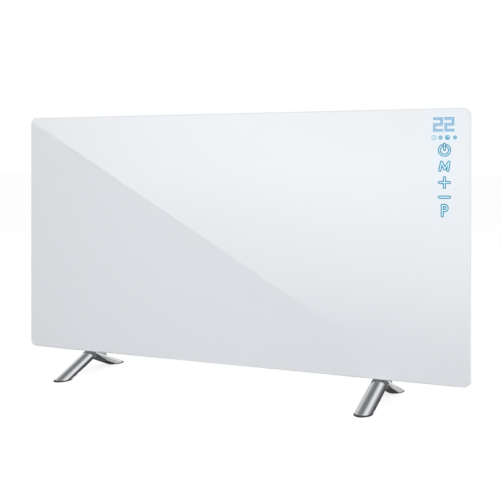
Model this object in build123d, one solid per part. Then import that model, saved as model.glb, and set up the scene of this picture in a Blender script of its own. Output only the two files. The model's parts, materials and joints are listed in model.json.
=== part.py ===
from build123d import *
import os
from math import cos, radians, sin, sqrt, tan

# Infrared panel heater: a white glass front on a folded steel pan, standing on two
# inverted-V feet. Millimetres. X runs along the panel to the viewer's right, Y runs
# back from the viewer, Z is up. Z = 0 is the floor and Y = 0 is the plane midway
# between the front and the rear soles.

# ---- Panel: overall sizes
PANEL_WIDTH = 870.0
PANEL_HEIGHT = 450.0
PANEL_LIFT = 40.0            # floor to the lower edge of the glass
GLASS_THICKNESS = 6.0
GLASS_CORNER_RADIUS = 12.0
GLASS_BEVEL = 1.5            # polished bevel round the front edge
GLASS_BACK_Y = -4.0          # the feet are centred this far behind the glass

# ---- Rear pan
FLANGE_INSET = 3.0           # edge of the glass to the pan's bonding flange
FLANGE_WIDTH = 8.0
BEAD_THICKNESS = 0.8         # adhesive bead between the glass and the flange
BEAD_MARGIN = 1.0            # bead kept inside the flange
PAN_DEPTH = 17.2             # front of the flange to the back face
PAN_WALL = 1.0
PAN_CORNER_RADIUS = 6.0
PAN_BACK_CHAMFER = 3.0       # folded edge round the pan's back
FIELD_RAISE = 2.0            # pressed field in the pan's back
FIELD_MARGIN_X = 60.0
FIELD_GAP_TO_RAIL = 8.0
FIELD_GAP_TO_BOX = 18.0
FIELD_CORNER_RADIUS = 16.0
FIELD_CHAMFER = 1.2
VENT_LENGTH = 34.0
VENT_HEIGHT = 4.0
VENT_PITCH = 52.0
VENT_COUNT = 8
VENT_ROW_INSET = 26.0        # pan wall to the row of vents

# ---- Heating stack behind the glass
STACK_INSET = 10.0           # pan wall to the edge of the heating film
FILM_THICKNESS = 0.4
BUSBAR_THICKNESS = 0.3
BUSBAR_WIDTH = 8.0
BUSBAR_INSET = 4.0
BUSBAR_TAB = 4.0             # bar past the film's right edge, where the lead is soldered
INSULATION_THICKNESS = 8.0
FOIL_THICKNESS = 0.3

# ---- Rails in the pan
RAIL_CROWN = 24.0
RAIL_FLANGE = 17.0
RAIL_STOCK = 1.2
RAIL_END_INSET = 22.0        # pan wall to the end of a rail
UPPER_RAIL_DROP = 100.0      # top of the glass to the upper rail's centre
LOWER_RAIL_RISE = 80.0       # bottom of the glass to the lower rail's centre
WALL_NUT_SPACING = 400.0

# ---- M5 rivet nuts with hexagon bodies
NUT_BORE_RADIUS = 2.1        # tapping size of the M5 thread
NUT_HEX = 7.0                # across the flats
NUT_HEAD_HEX = 10.0
NUT_HEAD_HEIGHT = 1.0
NUT_TIP_GAP = 1.5            # end of a nut to the foil
NUT_CLEARANCE = 0.05

# ---- Display and touch keys
DISPLAY_FROM_RIGHT = 42.4    # right edge of the glass to the display's centre line
DIGITS_DROP = 26.0           # top of the glass to the centre of the digits
ICONS_DROP = 47.4
FIRST_KEY_DROP = 67.3
KEY_PITCH = 24.7
KEY_COUNT = 5
ICON_PITCH = 11.5
ICON_COUNT = 4
FRAME_WIDTH = 56.0           # moulded frame behind the display
FRAME_TOP_GAP = 1.2          # pan wall to the frame
FRAME_BELOW_KEYS = 18.0
FRAME_THICKNESS = 3.0
FRAME_RIM = 2.0
FRAME_RIM_DEPTH = 3.0
KEY_WELL = 17.0
ICON_WELL_HEIGHT = 8.4
DIGIT_WELL_WIDTH = 42.0
DIGIT_WELL_HEIGHT = 27.0
DIGIT_WIDTH = 18.4
DIGIT_HEIGHT = 24.6
DIGIT_GAP = 1.2
DIFFUSER_THICKNESS = 1.0
DIFFUSER_CLEARANCE = 0.3
BOARD_THICKNESS = 1.6
BOARD_CLEARANCE = 0.4        # round a board in its frame
PAD_SIZE = 16.6              # square conductive foam frame behind each key
PAD_WINDOW = 11.2

# ---- Electrics box on the back
BOX_RIGHT_INSET = 25.0       # right edge of the glass to the box
BOX_WIDTH = 110.0
BOX_TOP_DROP = 70.0          # top of the glass to the box
BOX_HEIGHT = 220.0
BOX_BACK_GAP = 1.4           # tallest part on the power board to the box's back
BOX_WALL = 2.0
BOX_CORNER_RADIUS = 8.0
BOX_EDGE_CHAMFER = 2.0
BOX_SLOT_LENGTH = 50.0
BOX_SLOT_HEIGHT = 2.6
BOX_SLOT_PITCH = 7.0
BOX_SLOT_COUNT = 7

# ---- Power board inside the box
POWER_BOARD_WIDTH = 84.0
POWER_BOARD_HEIGHT = 104.0
POWER_BOARD_TOP_GAP = 22.0   # inside of the box top to the board
TERMINAL_WAYS = 4
TERMINAL_PITCH = 9.5
TERMINAL_SHIFT = -10.0       # board's centre line to the block's
TERMINAL_RISE = 9.0          # board's lower edge to the block's centre
TERMINAL_ENTRY = 6.0         # board to the axis of the wire entries
TERMINAL_WIDTH = 14.0
TERMINAL_DEPTH = 13.0
TERMINAL_END_WALL = 1.0
TERMINAL_EDGE = 0.5
TERMINAL_ENTRY_DEPTH = 5.0
TERMINAL_CLEARANCE = 0.2     # round a lead in its entry
POST_HEIGHT = 6.0            # pan to the power board
POST_RADIUS = 3.2
POST_NECK_RADIUS = 1.6
POST_HEAD_RADIUS = 2.3
POST_HEAD_HEIGHT = 2.0
POST_INSET = 8.0
POST_CLEARANCE = 0.1
TALLEST_PART = 17.0          # the transformer's depth sets the depth of the box
# Blocks on the board: two offsets from its centre, width, height, depth and edge chamfer
RELAY = (22.0, 16.0, 19.0, 15.5, 15.5, 0.6)
TRANSFORMER = (-20.0, 18.0, 26.0, 22.0, TALLEST_PART, 0.9)
CAPACITOR = (-20.0, -10.0, 18.0, 8.5, 14.5, 0.9)

# ---- Power switch, on the right side of the box
SWITCH_RISE = 40.0           # box bottom to the switch's centre
SWITCH_END_WALL = 1.05       # body past the rocker's clearance, at its ends
SWITCH_SIDE_WALL = 1.0
SWITCH_END_LIP = 1.25        # bezel past the body, at its ends
SWITCH_SIDE_LIP = 1.0
SWITCH_BEZEL_HEIGHT = 2.0
SWITCH_BODY_DEPTH = 13.0
SWITCH_CAVITY_DEPTH = 10.0
SWITCH_CLEARANCE = 0.05      # round the body in the box
BLADE_OFFSET = 6.0           # pivot to each terminal blade
BLADE_THICKNESS = 0.8
BLADE_WIDTH = 6.3
BLADE_LENGTH = 7.0
ROCKER_RADIUS = 8.1          # the rocker's ends are arcs about its pivot
ROCKER_WIDTH = 10.4
ROCKER_CLEARANCE = 0.35
ROCKER_SIDE_CLEARANCE = 0.3
ROCKER_TILT = 12.0           # degrees each way from level
ROCKER_EDGE_HEIGHT = 3.0     # ends of the rocker above its pivot
ROCKER_VALLEY_HEIGHT = 1.4
ROCKER_BELLY = 3.0
PIVOT_DEPTH = 3.0            # bezel's face to the pivot
PIVOT_PIN_RADIUS = 1.2
PIVOT_PIN_CLEARANCE = 0.05
PIVOT_PIN_LENGTH = 0.8
PIVOT_PIN_END_GAP = 0.1

# ---- Cable gland, under the box
GLAND_FROM_LEFT = 35.0       # box's left side to the gland's axis
CABLE_BORE_RADIUS = 3.7      # hole in the rubber seal
SEAL_WALL = 1.7
SEAL_LENGTH = 12.0
SEAL_PROUD = 0.5             # seal past the end of the sleeve
GLAND_MOUTH_GAP = 0.7        # cable to the cap's mouth
GLAND_SLEEVE_WALL = 2.2      # round the seal
GLAND_SLEEVE_LENGTH = 9.0
GLAND_THREAD_STEP = 0.4      # thread's radius over the sleeve's
GLAND_THREAD_LENGTH = 7.0    # inside the box
GLAND_HOLE_CLEARANCE = 0.1
GLAND_SHOULDER = 1.5         # flats of the hexagons beyond the thread
GLAND_HEX_HEIGHT = 6.0
GLAND_NUT_HEIGHT = 4.0
GLAND_CAP_WALL = 2.0
GLAND_CAP_HEIGHT = 15.0
GLAND_CAP_CHAMFER = 3.6
GLAND_CAP_FLOOR = 4.0
GLAND_CAP_GAP = 1.0          # left between the cap and the hexagon when tightened
THREAD_GAP = 0.03

# ---- Tip-over switch, inside the box
TIP_CASE_WIDTH = 12.0        # along X
TIP_BACK_GAP = 2.0           # case to the inside of the box's back
TIP_CASE_HEIGHT = 31.0
TIP_CASE_WALL = 1.3
TIP_LID_THICKNESS = 1.3
TIP_FROM_LEFT = 9.0          # inside of the box to the case
TIP_RISE = 26.0              # box bottom to the case
TIP_PIVOT_DROP = 6.0         # top of the case to the pivot
TIP_PIN_RADIUS = 1.0
TIP_PIN_CLEARANCE = 0.05
TIP_ARM_LENGTH = 16.0
TIP_ARM_WIDTH = 3.0
TIP_ARM_THICKNESS = 2.4
TIP_EYE_RADIUS = 2.6
TIP_BOB_SIZE = 7.0
TIP_BOB_LENGTH = 6.0

# ---- Feet: oval tube, welded in an inverted V
LEFT_FOOT_INSET = 134.0      # edge of the glass to the middle of the foot
RIGHT_FOOT_INSET = 154.0
TUBE_WIDTH = 30.0
TUBE_THICKNESS = 15.0
TUBE_WALL = 1.5
TUBE_END_RADIUS = 4.6        # the oval's narrow ends; two wider arcs join them
LEG_ANGLE = 20.5             # degrees above the floor
GLASS_TO_LEG_GAP = 0.3
SOLE_THICKNESS = 2.0
PLUG_HEIGHT = 5.0
PLUG_CLEARANCE = 0.1

# ---- Foot brackets
BRACKET_STOCK = 3.0
BRACKET_WIDTH = 44.0
BRACKET_CORNER = 6.0
BRACKET_ABOVE_SCREWS = 16.0
BRACKET_SCREW_SPACING = 26.0
WING_WIDTH = 14.0            # the saddle that lies along the tube's crown
WING_REAR_REACH = 46.0
WING_WRAP = 0.3              # saddle's lower corners below the tube's surface beside them
WELD_GAP = 0.05              # saddle to tube
FLANGE_CLEARANCE = 0.4       # pan's flange to the saddle
UPRIGHT_SINK = 0.5           # foot of the upright into the saddle
NECK_DROP = 8.0              # bottom of the pan to the start of the neck's taper
M5_CLEARANCE_RADIUS = 2.7
M5_SHANK_RADIUS = NUT_BORE_RADIUS - 0.05
M5_HEAD_HEX = 8.0
M5_HEAD_HEIGHT = 3.5
M5_LENGTH = 10.0

# ---- Leads and small parts
LEAD_RADIUS = 1.1
LEAD_SPACING = 8.0
GROMMET_LIP = 1.6
GROMMET_WALL = 1.4
GROMMET_HOLE_WIDTH = 11.0
GROMMET_HOLE_LENGTH = 20.0
GROMMET_DROP = 6.0           # power board's lower edge to the grommet's hole
LEAD_BEND_DROP = 3.0         # power board's lower edge to a lead's last bend
LEAD_END_GAP = 1.0           # end of a lead to the end of its terminal entry
CUTOUT_RADIUS = 7.8
CUTOUT_HEIGHT = 7.0
CUTOUT_WINDOW_GAP = 1.2      # round a cut-out in the insulation
CUTOUT_TAB_SPACING = 8.0
CUTOUT_TAB_THICKNESS = 0.8
CUTOUT_TAB_WIDTH = 6.2
CUTOUT_TAB_HEIGHT = 5.0
CUTOUT_RISE = 60.0           # middle of the panel to the upper cut-out
CUTOUT_FROM_RIGHT = 60.0     # right edge of the film to the other cut-out
RIBBON_WIDTH = 14.0
RIBBON_THICKNESS = 0.8
RIBBON_JOG = 6.0             # drop of the cable where it passes the pan
RIBBON_BEND = 2.0            # pan's wall to each bend
RIBBON_HOLE_MARGIN = 2.5
EARTH_FROM_RIGHT = 42.0      # right side of the box to the earth stud
EARTH_RISE = 22.0            # box bottom to the stud
EARTH_NUT_HEX = 8.0
EARTH_NUT_HEIGHT = 4.0
EARTH_STUD_RADIUS = 2.0
EARTH_STUD_LENGTH = 8.0
SENSOR_CLIP_WIDTH = 12.0
SENSOR_CLIP_HEIGHT = 3.0
SENSOR_BEAD_RADIUS = 2.0
SENSOR_BEAD_SINK = 0.6       # lowest line of the bead below the top of its clip
SENSOR_END_INSET = 0.5
OVERRUN = 1.0                # how far a cut runs past the faces that it opens

# ---- Places worked out from the sizes above
MITRE = 2 - sqrt(2)          # keeps the wall even round a chamfered edge
GLASS_FRONT_Y = GLASS_BACK_Y - GLASS_THICKNESS
PAN_FRONT_Y = GLASS_BACK_Y + BEAD_THICKNESS
PAN_BACK_Y = PAN_FRONT_Y + PAN_DEPTH
PAN_INNER_Y = PAN_BACK_Y - PAN_WALL
GLASS_MID_Z = PANEL_LIFT + PANEL_HEIGHT / 2
GLASS_TOP_Z = PANEL_LIFT + PANEL_HEIGHT
GLASS_RIGHT_X = PANEL_WIDTH / 2
PAN_INSET = FLANGE_INSET + FLANGE_WIDTH
PAN_WIDTH = PANEL_WIDTH - 2 * PAN_INSET
PAN_HEIGHT = PANEL_HEIGHT - 2 * PAN_INSET
PAN_INNER_RIGHT_X = PAN_WIDTH / 2 - PAN_WALL
PAN_INNER_TOP_Z = GLASS_TOP_Z - PAN_INSET - PAN_WALL
PAN_INNER_BOTTOM_Z = PANEL_LIFT + PAN_INSET + PAN_WALL

FILM_BACK_Y = GLASS_BACK_Y + FILM_THICKNESS
BUSBAR_BACK_Y = FILM_BACK_Y + BUSBAR_THICKNESS
INSULATION_BACK_Y = BUSBAR_BACK_Y + INSULATION_THICKNESS
FOIL_BACK_Y = INSULATION_BACK_Y + FOIL_THICKNESS

DISPLAY_X = GLASS_RIGHT_X - DISPLAY_FROM_RIGHT
FRAME_TOP_Z = PAN_INNER_TOP_Z - FRAME_TOP_GAP
FRAME_BOTTOM_Z = GLASS_TOP_Z - FIRST_KEY_DROP - (KEY_COUNT - 1) * KEY_PITCH - FRAME_BELOW_KEYS
FRAME_HEIGHT = FRAME_TOP_Z - FRAME_BOTTOM_Z
FRAME_MID_Z = (FRAME_TOP_Z + FRAME_BOTTOM_Z) / 2
FRAME_BACK_Y = GLASS_BACK_Y + FRAME_THICKNESS
DISPLAY_BOARD_BACK_Y = FRAME_BACK_Y + BOARD_THICKNESS
LEAD_CHANNEL = 14.0          # free strip between the heating stack and the frame
STACK_RIGHT_X = DISPLAY_X - FRAME_WIDTH / 2 - LEAD_CHANNEL
STACK_LEFT_X = -PAN_INNER_RIGHT_X + STACK_INSET
STACK_WIDTH = STACK_RIGHT_X - STACK_LEFT_X
STACK_HEIGHT = PAN_INNER_TOP_Z - PAN_INNER_BOTTOM_Z - 2 * STACK_INSET
STACK_MID_X = (STACK_RIGHT_X + STACK_LEFT_X) / 2
CHANNEL_X = STACK_RIGHT_X + LEAD_CHANNEL / 2

UPPER_RAIL_Z = GLASS_TOP_Z - UPPER_RAIL_DROP
LOWER_RAIL_Z = PANEL_LIFT + LOWER_RAIL_RISE
NUT_LENGTH = PAN_BACK_Y - FOIL_BACK_Y - NUT_TIP_GAP
RAIL_LEFT_X = -PAN_INNER_RIGHT_X + RAIL_END_INSET
LOWER_RAIL_RIGHT_X = STACK_RIGHT_X - RAIL_END_INSET / 2
RAIL_HALF_HEIGHT = RAIL_CROWN / 2 + RAIL_STOCK + RAIL_FLANGE
FLANGE_CENTRE = RAIL_HALF_HEIGHT - RAIL_FLANGE / 2
BRACKET_SCREW_Z = LOWER_RAIL_Z - FLANGE_CENTRE

BOX_RIGHT_X = GLASS_RIGHT_X - BOX_RIGHT_INSET
BOX_LEFT_X = BOX_RIGHT_X - BOX_WIDTH
UPPER_RAIL_RIGHT_X = BOX_LEFT_X - FIELD_GAP_TO_BOX / 2
BOX_MID_X = (BOX_RIGHT_X + BOX_LEFT_X) / 2
BOX_TOP_Z = GLASS_TOP_Z - BOX_TOP_DROP
BOX_BOTTOM_Z = BOX_TOP_Z - BOX_HEIGHT
BOX_MID_Z = (BOX_TOP_Z + BOX_BOTTOM_Z) / 2
POWER_BOARD_FRONT_Y = PAN_BACK_Y + POST_HEIGHT
POWER_BOARD_BACK_Y = POWER_BOARD_FRONT_Y + BOARD_THICKNESS
BOX_INNER_BACK_Y = POWER_BOARD_BACK_Y + TALLEST_PART + BOX_BACK_GAP
BOX_BACK_Y = BOX_INNER_BACK_Y + BOX_WALL
BOX_MIDDLE_Y = (PAN_BACK_Y + BOX_INNER_BACK_Y) / 2
POWER_BOARD_TOP_Z = BOX_TOP_Z - BOX_WALL - POWER_BOARD_TOP_GAP
POWER_BOARD_MID_Z = POWER_BOARD_TOP_Z - POWER_BOARD_HEIGHT / 2
POWER_BOARD_BOTTOM_Z = POWER_BOARD_TOP_Z - POWER_BOARD_HEIGHT
GROMMET_Z = POWER_BOARD_BOTTOM_Z - GROMMET_DROP - GROMMET_HOLE_LENGTH / 2

LEG_SLOPE = tan(radians(LEG_ANGLE))
RIDGE_Z = PANEL_LIFT - GLASS_TO_LEG_GAP - GLASS_BACK_Y * LEG_SLOPE
APEX_Z = RIDGE_Z - TUBE_THICKNESS / 2 / cos(radians(LEG_ANGLE))
LEFT_FOOT_X = -GLASS_RIGHT_X + LEFT_FOOT_INSET
RIGHT_FOOT_X = GLASS_RIGHT_X - RIGHT_FOOT_INSET

# ---- Places used by more than one piece
WALL_NUT_PLACES = [
    (x, z + FLANGE_CENTRE)
    for z in (UPPER_RAIL_Z, LOWER_RAIL_Z)
    for x in (-WALL_NUT_SPACING / 2, WALL_NUT_SPACING / 2)
]
BRACKET_SCREW_PLACES = [
    (foot_x + side * BRACKET_SCREW_SPACING / 2, BRACKET_SCREW_Z)
    for foot_x in (LEFT_FOOT_X, RIGHT_FOOT_X)
    for side in (-1, 1)
]
NUT_PLACES = WALL_NUT_PLACES + BRACKET_SCREW_PLACES
POST_PLACES = [
    (BOX_MID_X + sx * (POWER_BOARD_WIDTH / 2 - POST_INSET),
     POWER_BOARD_MID_Z + sz * (POWER_BOARD_HEIGHT / 2 - POST_INSET))
    for sx in (-1, 1)
    for sz in (-1, 1)
]
CUTOUT_PLACES = [
    (STACK_MID_X, GLASS_MID_Z + CUTOUT_RISE),
    (STACK_RIGHT_X - CUTOUT_FROM_RIGHT, GLASS_MID_Z),
]
RIBBON_X = DISPLAY_X
RIBBON_Z = POWER_BOARD_MID_Z
SWITCH_Z = BOX_BOTTOM_Z + SWITCH_RISE
SWITCH_CAVITY_LENGTH = 2 * (ROCKER_RADIUS + ROCKER_CLEARANCE)
SWITCH_CAVITY_WIDTH = ROCKER_WIDTH + 2 * ROCKER_SIDE_CLEARANCE
SWITCH_BODY_LENGTH = SWITCH_CAVITY_LENGTH + 2 * SWITCH_END_WALL
SWITCH_BODY_WIDTH = SWITCH_CAVITY_WIDTH + 2 * SWITCH_SIDE_WALL
PIVOT_X = BOX_RIGHT_X + SWITCH_BEZEL_HEIGHT - PIVOT_DEPTH
GLAND_X = BOX_LEFT_X + GLAND_FROM_LEFT
GLAND_BORE_RADIUS = CABLE_BORE_RADIUS + SEAL_WALL
GLAND_SLEEVE_RADIUS = GLAND_BORE_RADIUS + GLAND_SLEEVE_WALL
GLAND_THREAD_RADIUS = GLAND_SLEEVE_RADIUS + GLAND_THREAD_STEP
GLAND_HEX = 2 * (GLAND_THREAD_RADIUS + GLAND_SHOULDER)
TIP_X = BOX_LEFT_X + BOX_WALL + TIP_FROM_LEFT
TIP_FRONT_Y = PAN_BACK_Y
TIP_BACK_Y = BOX_INNER_BACK_Y - TIP_BACK_GAP
TIP_BOTTOM_Z = BOX_BOTTOM_Z + TIP_RISE
TIP_TOP_Z = TIP_BOTTOM_Z + TIP_CASE_HEIGHT
TIP_PIVOT_Y = (TIP_FRONT_Y + TIP_BACK_Y) / 2
TIP_PIVOT_Z = TIP_TOP_Z - TIP_PIVOT_DROP
EARTH_X = BOX_RIGHT_X - EARTH_FROM_RIGHT
EARTH_Z = BOX_BOTTOM_Z + EARTH_RISE

os.makedirs("parts", exist_ok=True)


# ---- Small helpers
def save(name, *solids):
    """Write one node, as one solid or a group of separate solids."""
    found = [s for shape in solids for s in shape.solids()]
    export_step(found[0] if len(found) == 1 else Compound(found), f"parts/{name}.step")


def between(x0, x1, y0, y1, z0, z1):
    """A block between two opposite corners."""
    middle = Pos((x0 + x1) / 2, (y0 + y1) / 2, (z0 + z1) / 2)
    return middle * Box(x1 - x0, y1 - y0, z1 - z0)


def slab(outline, y_front, y_back, x=0.0, z=0.0):
    """Extrude an outline, drawn in X and Z about (x, z), from y_back forwards to y_front."""
    back = Plane((x, y_back, z), x_dir=(1, 0, 0), z_dir=(0, -1, 0))
    return extrude(back * outline, y_back - y_front)


def across(outline, x_from, x_to, y=0.0, z=0.0):
    """Extrude an outline, drawn in Y and Z about (y, z), from x_from to x_to."""
    start = Plane((x_from, y, z), x_dir=(0, 1, 0), z_dir=(1, 0, 0))
    return extrude(start * outline, x_to - x_from)


def rod(radius, start, end):
    """A round bar between two points."""
    run = Vector(*end) - Vector(*start)
    return extrude(Plane(start, z_dir=run) * Circle(radius), run.length)


def hexagon(across_flats):
    return RegularPolygon(across_flats / 2, 6, major_radius=False)


def twelve_sided(radius):
    """Stands for a small circle where a screw's head or its nut hides it."""
    return RegularPolygon(radius, 12)


def edges_at(shape, axis, value, tolerance=0.01):
    """Edges that lie wholly in a plane square to an axis."""
    return shape.edges().filter_by_position(axis, value - tolerance, value + tolerance)


# ---- Glass front and rear pan
def front_glass():
    outline = RectangleRounded(PANEL_WIDTH, PANEL_HEIGHT, GLASS_CORNER_RADIUS)
    glass = slab(outline, GLASS_FRONT_Y, GLASS_BACK_Y, z=GLASS_MID_Z)
    return chamfer(edges_at(glass, Axis.Y, GLASS_FRONT_Y), GLASS_BEVEL)


def bonding_bead():
    grow = 2 * (FLANGE_WIDTH - BEAD_MARGIN)
    radius = GLASS_CORNER_RADIUS - FLANGE_INSET - BEAD_MARGIN
    outer = RectangleRounded(PAN_WIDTH + grow, PAN_HEIGHT + grow, radius)
    inner = RectangleRounded(PAN_WIDTH, PAN_HEIGHT, PAN_CORNER_RADIUS)
    return slab(outer - inner, GLASS_BACK_Y, PAN_FRONT_Y, z=GLASS_MID_Z)


def pan_body(shrink, y_back):
    """The pan's outer form, or with a shrink its inner form."""
    outline = RectangleRounded(
        PAN_WIDTH - 2 * shrink, PAN_HEIGHT - 2 * shrink, PAN_CORNER_RADIUS - shrink
    )
    body = slab(outline, PAN_FRONT_Y, y_back, z=GLASS_MID_Z)
    return chamfer(edges_at(body, Axis.Y, y_back), PAN_BACK_CHAMFER - shrink * MITRE)


def pressed_field(shrink, y_front, y_back):
    """The raised field in the pan's back, left of the electrics box."""
    left = -PAN_WIDTH / 2 + FIELD_MARGIN_X + shrink
    right = BOX_LEFT_X - FIELD_GAP_TO_BOX - shrink
    top = UPPER_RAIL_Z - RAIL_HALF_HEIGHT - FIELD_GAP_TO_RAIL - shrink
    bottom = LOWER_RAIL_Z + RAIL_HALF_HEIGHT + FIELD_GAP_TO_RAIL + shrink
    outline = RectangleRounded(right - left, top - bottom, FIELD_CORNER_RADIUS - shrink)
    field = slab(outline, y_front, y_back, x=(left + right) / 2, z=(top + bottom) / 2)
    return chamfer(edges_at(field, Axis.Y, y_back), FIELD_CHAMFER)


def rear_pan():
    grow = 2 * FLANGE_WIDTH
    flange_outline = RectangleRounded(
        PAN_WIDTH + grow, PAN_HEIGHT + grow, GLASS_CORNER_RADIUS - FLANGE_INSET
    )
    flange = slab(flange_outline, PAN_FRONT_Y, PAN_FRONT_Y + PAN_WALL, z=GLASS_MID_Z)
    pan = flange + pan_body(0.0, PAN_BACK_Y)
    pan += pressed_field(0.0, PAN_INNER_Y, PAN_BACK_Y + FIELD_RAISE)
    pan -= pan_body(PAN_WALL, PAN_INNER_Y)
    pan -= pressed_field(PAN_WALL, PAN_INNER_Y - OVERRUN, PAN_INNER_Y + FIELD_RAISE)

    cut = (PAN_INNER_Y - OVERRUN, PAN_BACK_Y + OVERRUN)
    vent = Rectangle(VENT_LENGTH, VENT_HEIGHT)
    for row_z in (PAN_INNER_TOP_Z - VENT_ROW_INSET, PAN_INNER_BOTTOM_Z + VENT_ROW_INSET):
        row = GridLocations(VENT_PITCH, 0, VENT_COUNT, 1) * vent
        pan -= slab(Sketch() + row, *cut, x=STACK_MID_X, z=row_z)

    nut_hole = hexagon(NUT_HEX + 2 * NUT_CLEARANCE)
    for x, z in NUT_PLACES:
        pan -= slab(nut_hole, *cut, x=x, z=z)
    lead_hole = Rectangle(GROMMET_HOLE_WIDTH, GROMMET_HOLE_LENGTH)
    pan -= slab(lead_hole, *cut, x=CHANNEL_X, z=GROMMET_Z)
    margin = 2 * RIBBON_HOLE_MARGIN
    ribbon_hole = Rectangle(RIBBON_WIDTH + margin, RIBBON_JOG + margin)
    return pan - slab(ribbon_hole, *cut, x=RIBBON_X, z=RIBBON_Z)


# ---- Heating stack
def stack_sheet(y_front, y_back):
    """A sheet as large as the heating stack."""
    outline = Rectangle(STACK_WIDTH, STACK_HEIGHT)
    return slab(outline, y_front, y_back, x=STACK_MID_X, z=GLASS_MID_Z)


def busbar_places():
    reach = STACK_HEIGHT / 2 - BUSBAR_INSET - BUSBAR_WIDTH / 2
    return GLASS_MID_Z + reach, GLASS_MID_Z - reach


def busbars():
    bars = []
    for z in busbar_places():
        left = STACK_LEFT_X + BUSBAR_INSET
        right = STACK_RIGHT_X + BUSBAR_TAB
        half = BUSBAR_WIDTH / 2
        bars.append(between(left, right, FILM_BACK_Y, BUSBAR_BACK_Y, z - half, z + half))
    return bars


def with_windows(sheet, y_front, y_back):
    """A sheet with a square window for each thermal cut-out."""
    side = 2 * (CUTOUT_RADIUS + CUTOUT_WINDOW_GAP)
    for x, z in CUTOUT_PLACES:
        sheet -= slab(Rectangle(side, side), y_front - OVERRUN, y_back + OVERRUN, x=x, z=z)
    return sheet


def thermal_cutouts():
    """Round snap-action cut-outs that stand on the film, each with two terminal tabs."""
    back = FILM_BACK_Y + CUTOUT_HEIGHT
    tab = Rectangle(CUTOUT_TAB_THICKNESS, CUTOUT_TAB_WIDTH)
    found = []
    for x, z in CUTOUT_PLACES:
        disc = slab(Circle(CUTOUT_RADIUS), FILM_BACK_Y, back, x=x, z=z)
        for side in (-1, 1):
            tab_x = x + side * CUTOUT_TAB_SPACING / 2
            disc += slab(tab, back, back + CUTOUT_TAB_HEIGHT, x=tab_x, z=z)
        found.append(disc)
    return found


# ---- Rails and rivet nuts
def rail(z, right_x):
    """A hat section: two flanges on the pan's back and a crown against the foil."""
    height = PAN_INNER_Y - FOIL_BACK_Y
    half = RAIL_CROWN / 2
    outer = half + RAIL_STOCK
    reach = outer + RAIL_FLANGE
    points = [
        (height, reach),
        (height, half),
        (RAIL_STOCK, half),
        (RAIL_STOCK, -half),
        (height, -half),
        (height, -reach),
        (height - RAIL_STOCK, -reach),
        (height - RAIL_STOCK, -outer),
        (0, -outer),
        (0, outer),
        (height - RAIL_STOCK, outer),
        (height - RAIL_STOCK, reach),
    ]
    hat = make_face(Polyline(*points, close=True))
    bar = across(hat, RAIL_LEFT_X, right_x, y=FOIL_BACK_Y, z=z)
    nut_hole = hexagon(NUT_HEX + 2 * NUT_CLEARANCE)
    for x, nut_z in NUT_PLACES:
        if abs(nut_z - z) < reach:
            front = PAN_INNER_Y - RAIL_STOCK - OVERRUN
            bar -= slab(nut_hole, front, PAN_INNER_Y + OVERRUN, x=x, z=nut_z)
    return bar


def rivet_nuts():
    """Hexagon bodies in hexagon holes, each with a flat head on the pan's back."""
    bore = Circle(NUT_BORE_RADIUS)
    head = hexagon(NUT_HEAD_HEX) - bore
    body = hexagon(NUT_HEX) - bore
    nut = slab(head, 0, NUT_HEAD_HEIGHT) + slab(body, -NUT_LENGTH, 0)
    return [Pos(x, PAN_BACK_Y, z) * nut for x, z in NUT_PLACES]


# ---- Display
def key_heights():
    return [GLASS_TOP_Z - FIRST_KEY_DROP - i * KEY_PITCH for i in range(KEY_COUNT)]


def display_frame():
    outline = Rectangle(FRAME_WIDTH, FRAME_HEIGHT)
    plate = slab(outline, GLASS_BACK_Y, FRAME_BACK_Y, x=DISPLAY_X, z=FRAME_MID_Z)
    rim = outline - Rectangle(FRAME_WIDTH - 2 * FRAME_RIM, FRAME_HEIGHT - 2 * FRAME_RIM)
    frame = plate + slab(
        rim, GLASS_BACK_Y, FRAME_BACK_Y + FRAME_RIM_DEPTH, x=DISPLAY_X, z=FRAME_MID_Z
    )
    wells = [(Rectangle(DIGIT_WELL_WIDTH, DIGIT_WELL_HEIGHT), GLASS_TOP_Z - DIGITS_DROP)]
    icon_row = Rectangle(ICON_COUNT * ICON_PITCH, ICON_WELL_HEIGHT)
    wells.append((icon_row, GLASS_TOP_Z - ICONS_DROP))
    for z in key_heights():
        wells.append((Rectangle(KEY_WELL, KEY_WELL), z))
    for well, z in wells:
        frame -= slab(well, GLASS_BACK_Y - OVERRUN, FRAME_BACK_Y + OVERRUN, x=DISPLAY_X, z=z)
    return frame


def display_board():
    gap = 2 * (FRAME_RIM + BOARD_CLEARANCE)
    outline = Rectangle(FRAME_WIDTH - gap, FRAME_HEIGHT - gap)
    return slab(outline, FRAME_BACK_Y, DISPLAY_BOARD_BACK_Y, x=DISPLAY_X, z=FRAME_MID_Z)


def digit_modules():
    found = []
    for side in (-1, 1):
        x = DISPLAY_X + side * (DIGIT_WIDTH + DIGIT_GAP) / 2
        block = Rectangle(DIGIT_WIDTH, DIGIT_HEIGHT)
        front = GLASS_BACK_Y + DIFFUSER_THICKNESS
        found.append(slab(block, front, FRAME_BACK_Y, x=x, z=GLASS_TOP_Z - DIGITS_DROP))
    return found


def diffuser():
    gap = 2 * DIFFUSER_CLEARANCE
    sheet = Rectangle(DIGIT_WELL_WIDTH - gap, DIGIT_WELL_HEIGHT - gap)
    back = GLASS_BACK_Y + DIFFUSER_THICKNESS
    return slab(sheet, GLASS_BACK_Y, back, x=DISPLAY_X, z=GLASS_TOP_Z - DIGITS_DROP)


def touch_pads():
    pad = Rectangle(PAD_SIZE, PAD_SIZE) - Rectangle(PAD_WINDOW, PAD_WINDOW)
    return [slab(pad, GLASS_BACK_Y, FRAME_BACK_Y, x=DISPLAY_X, z=z) for z in key_heights()]


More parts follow.
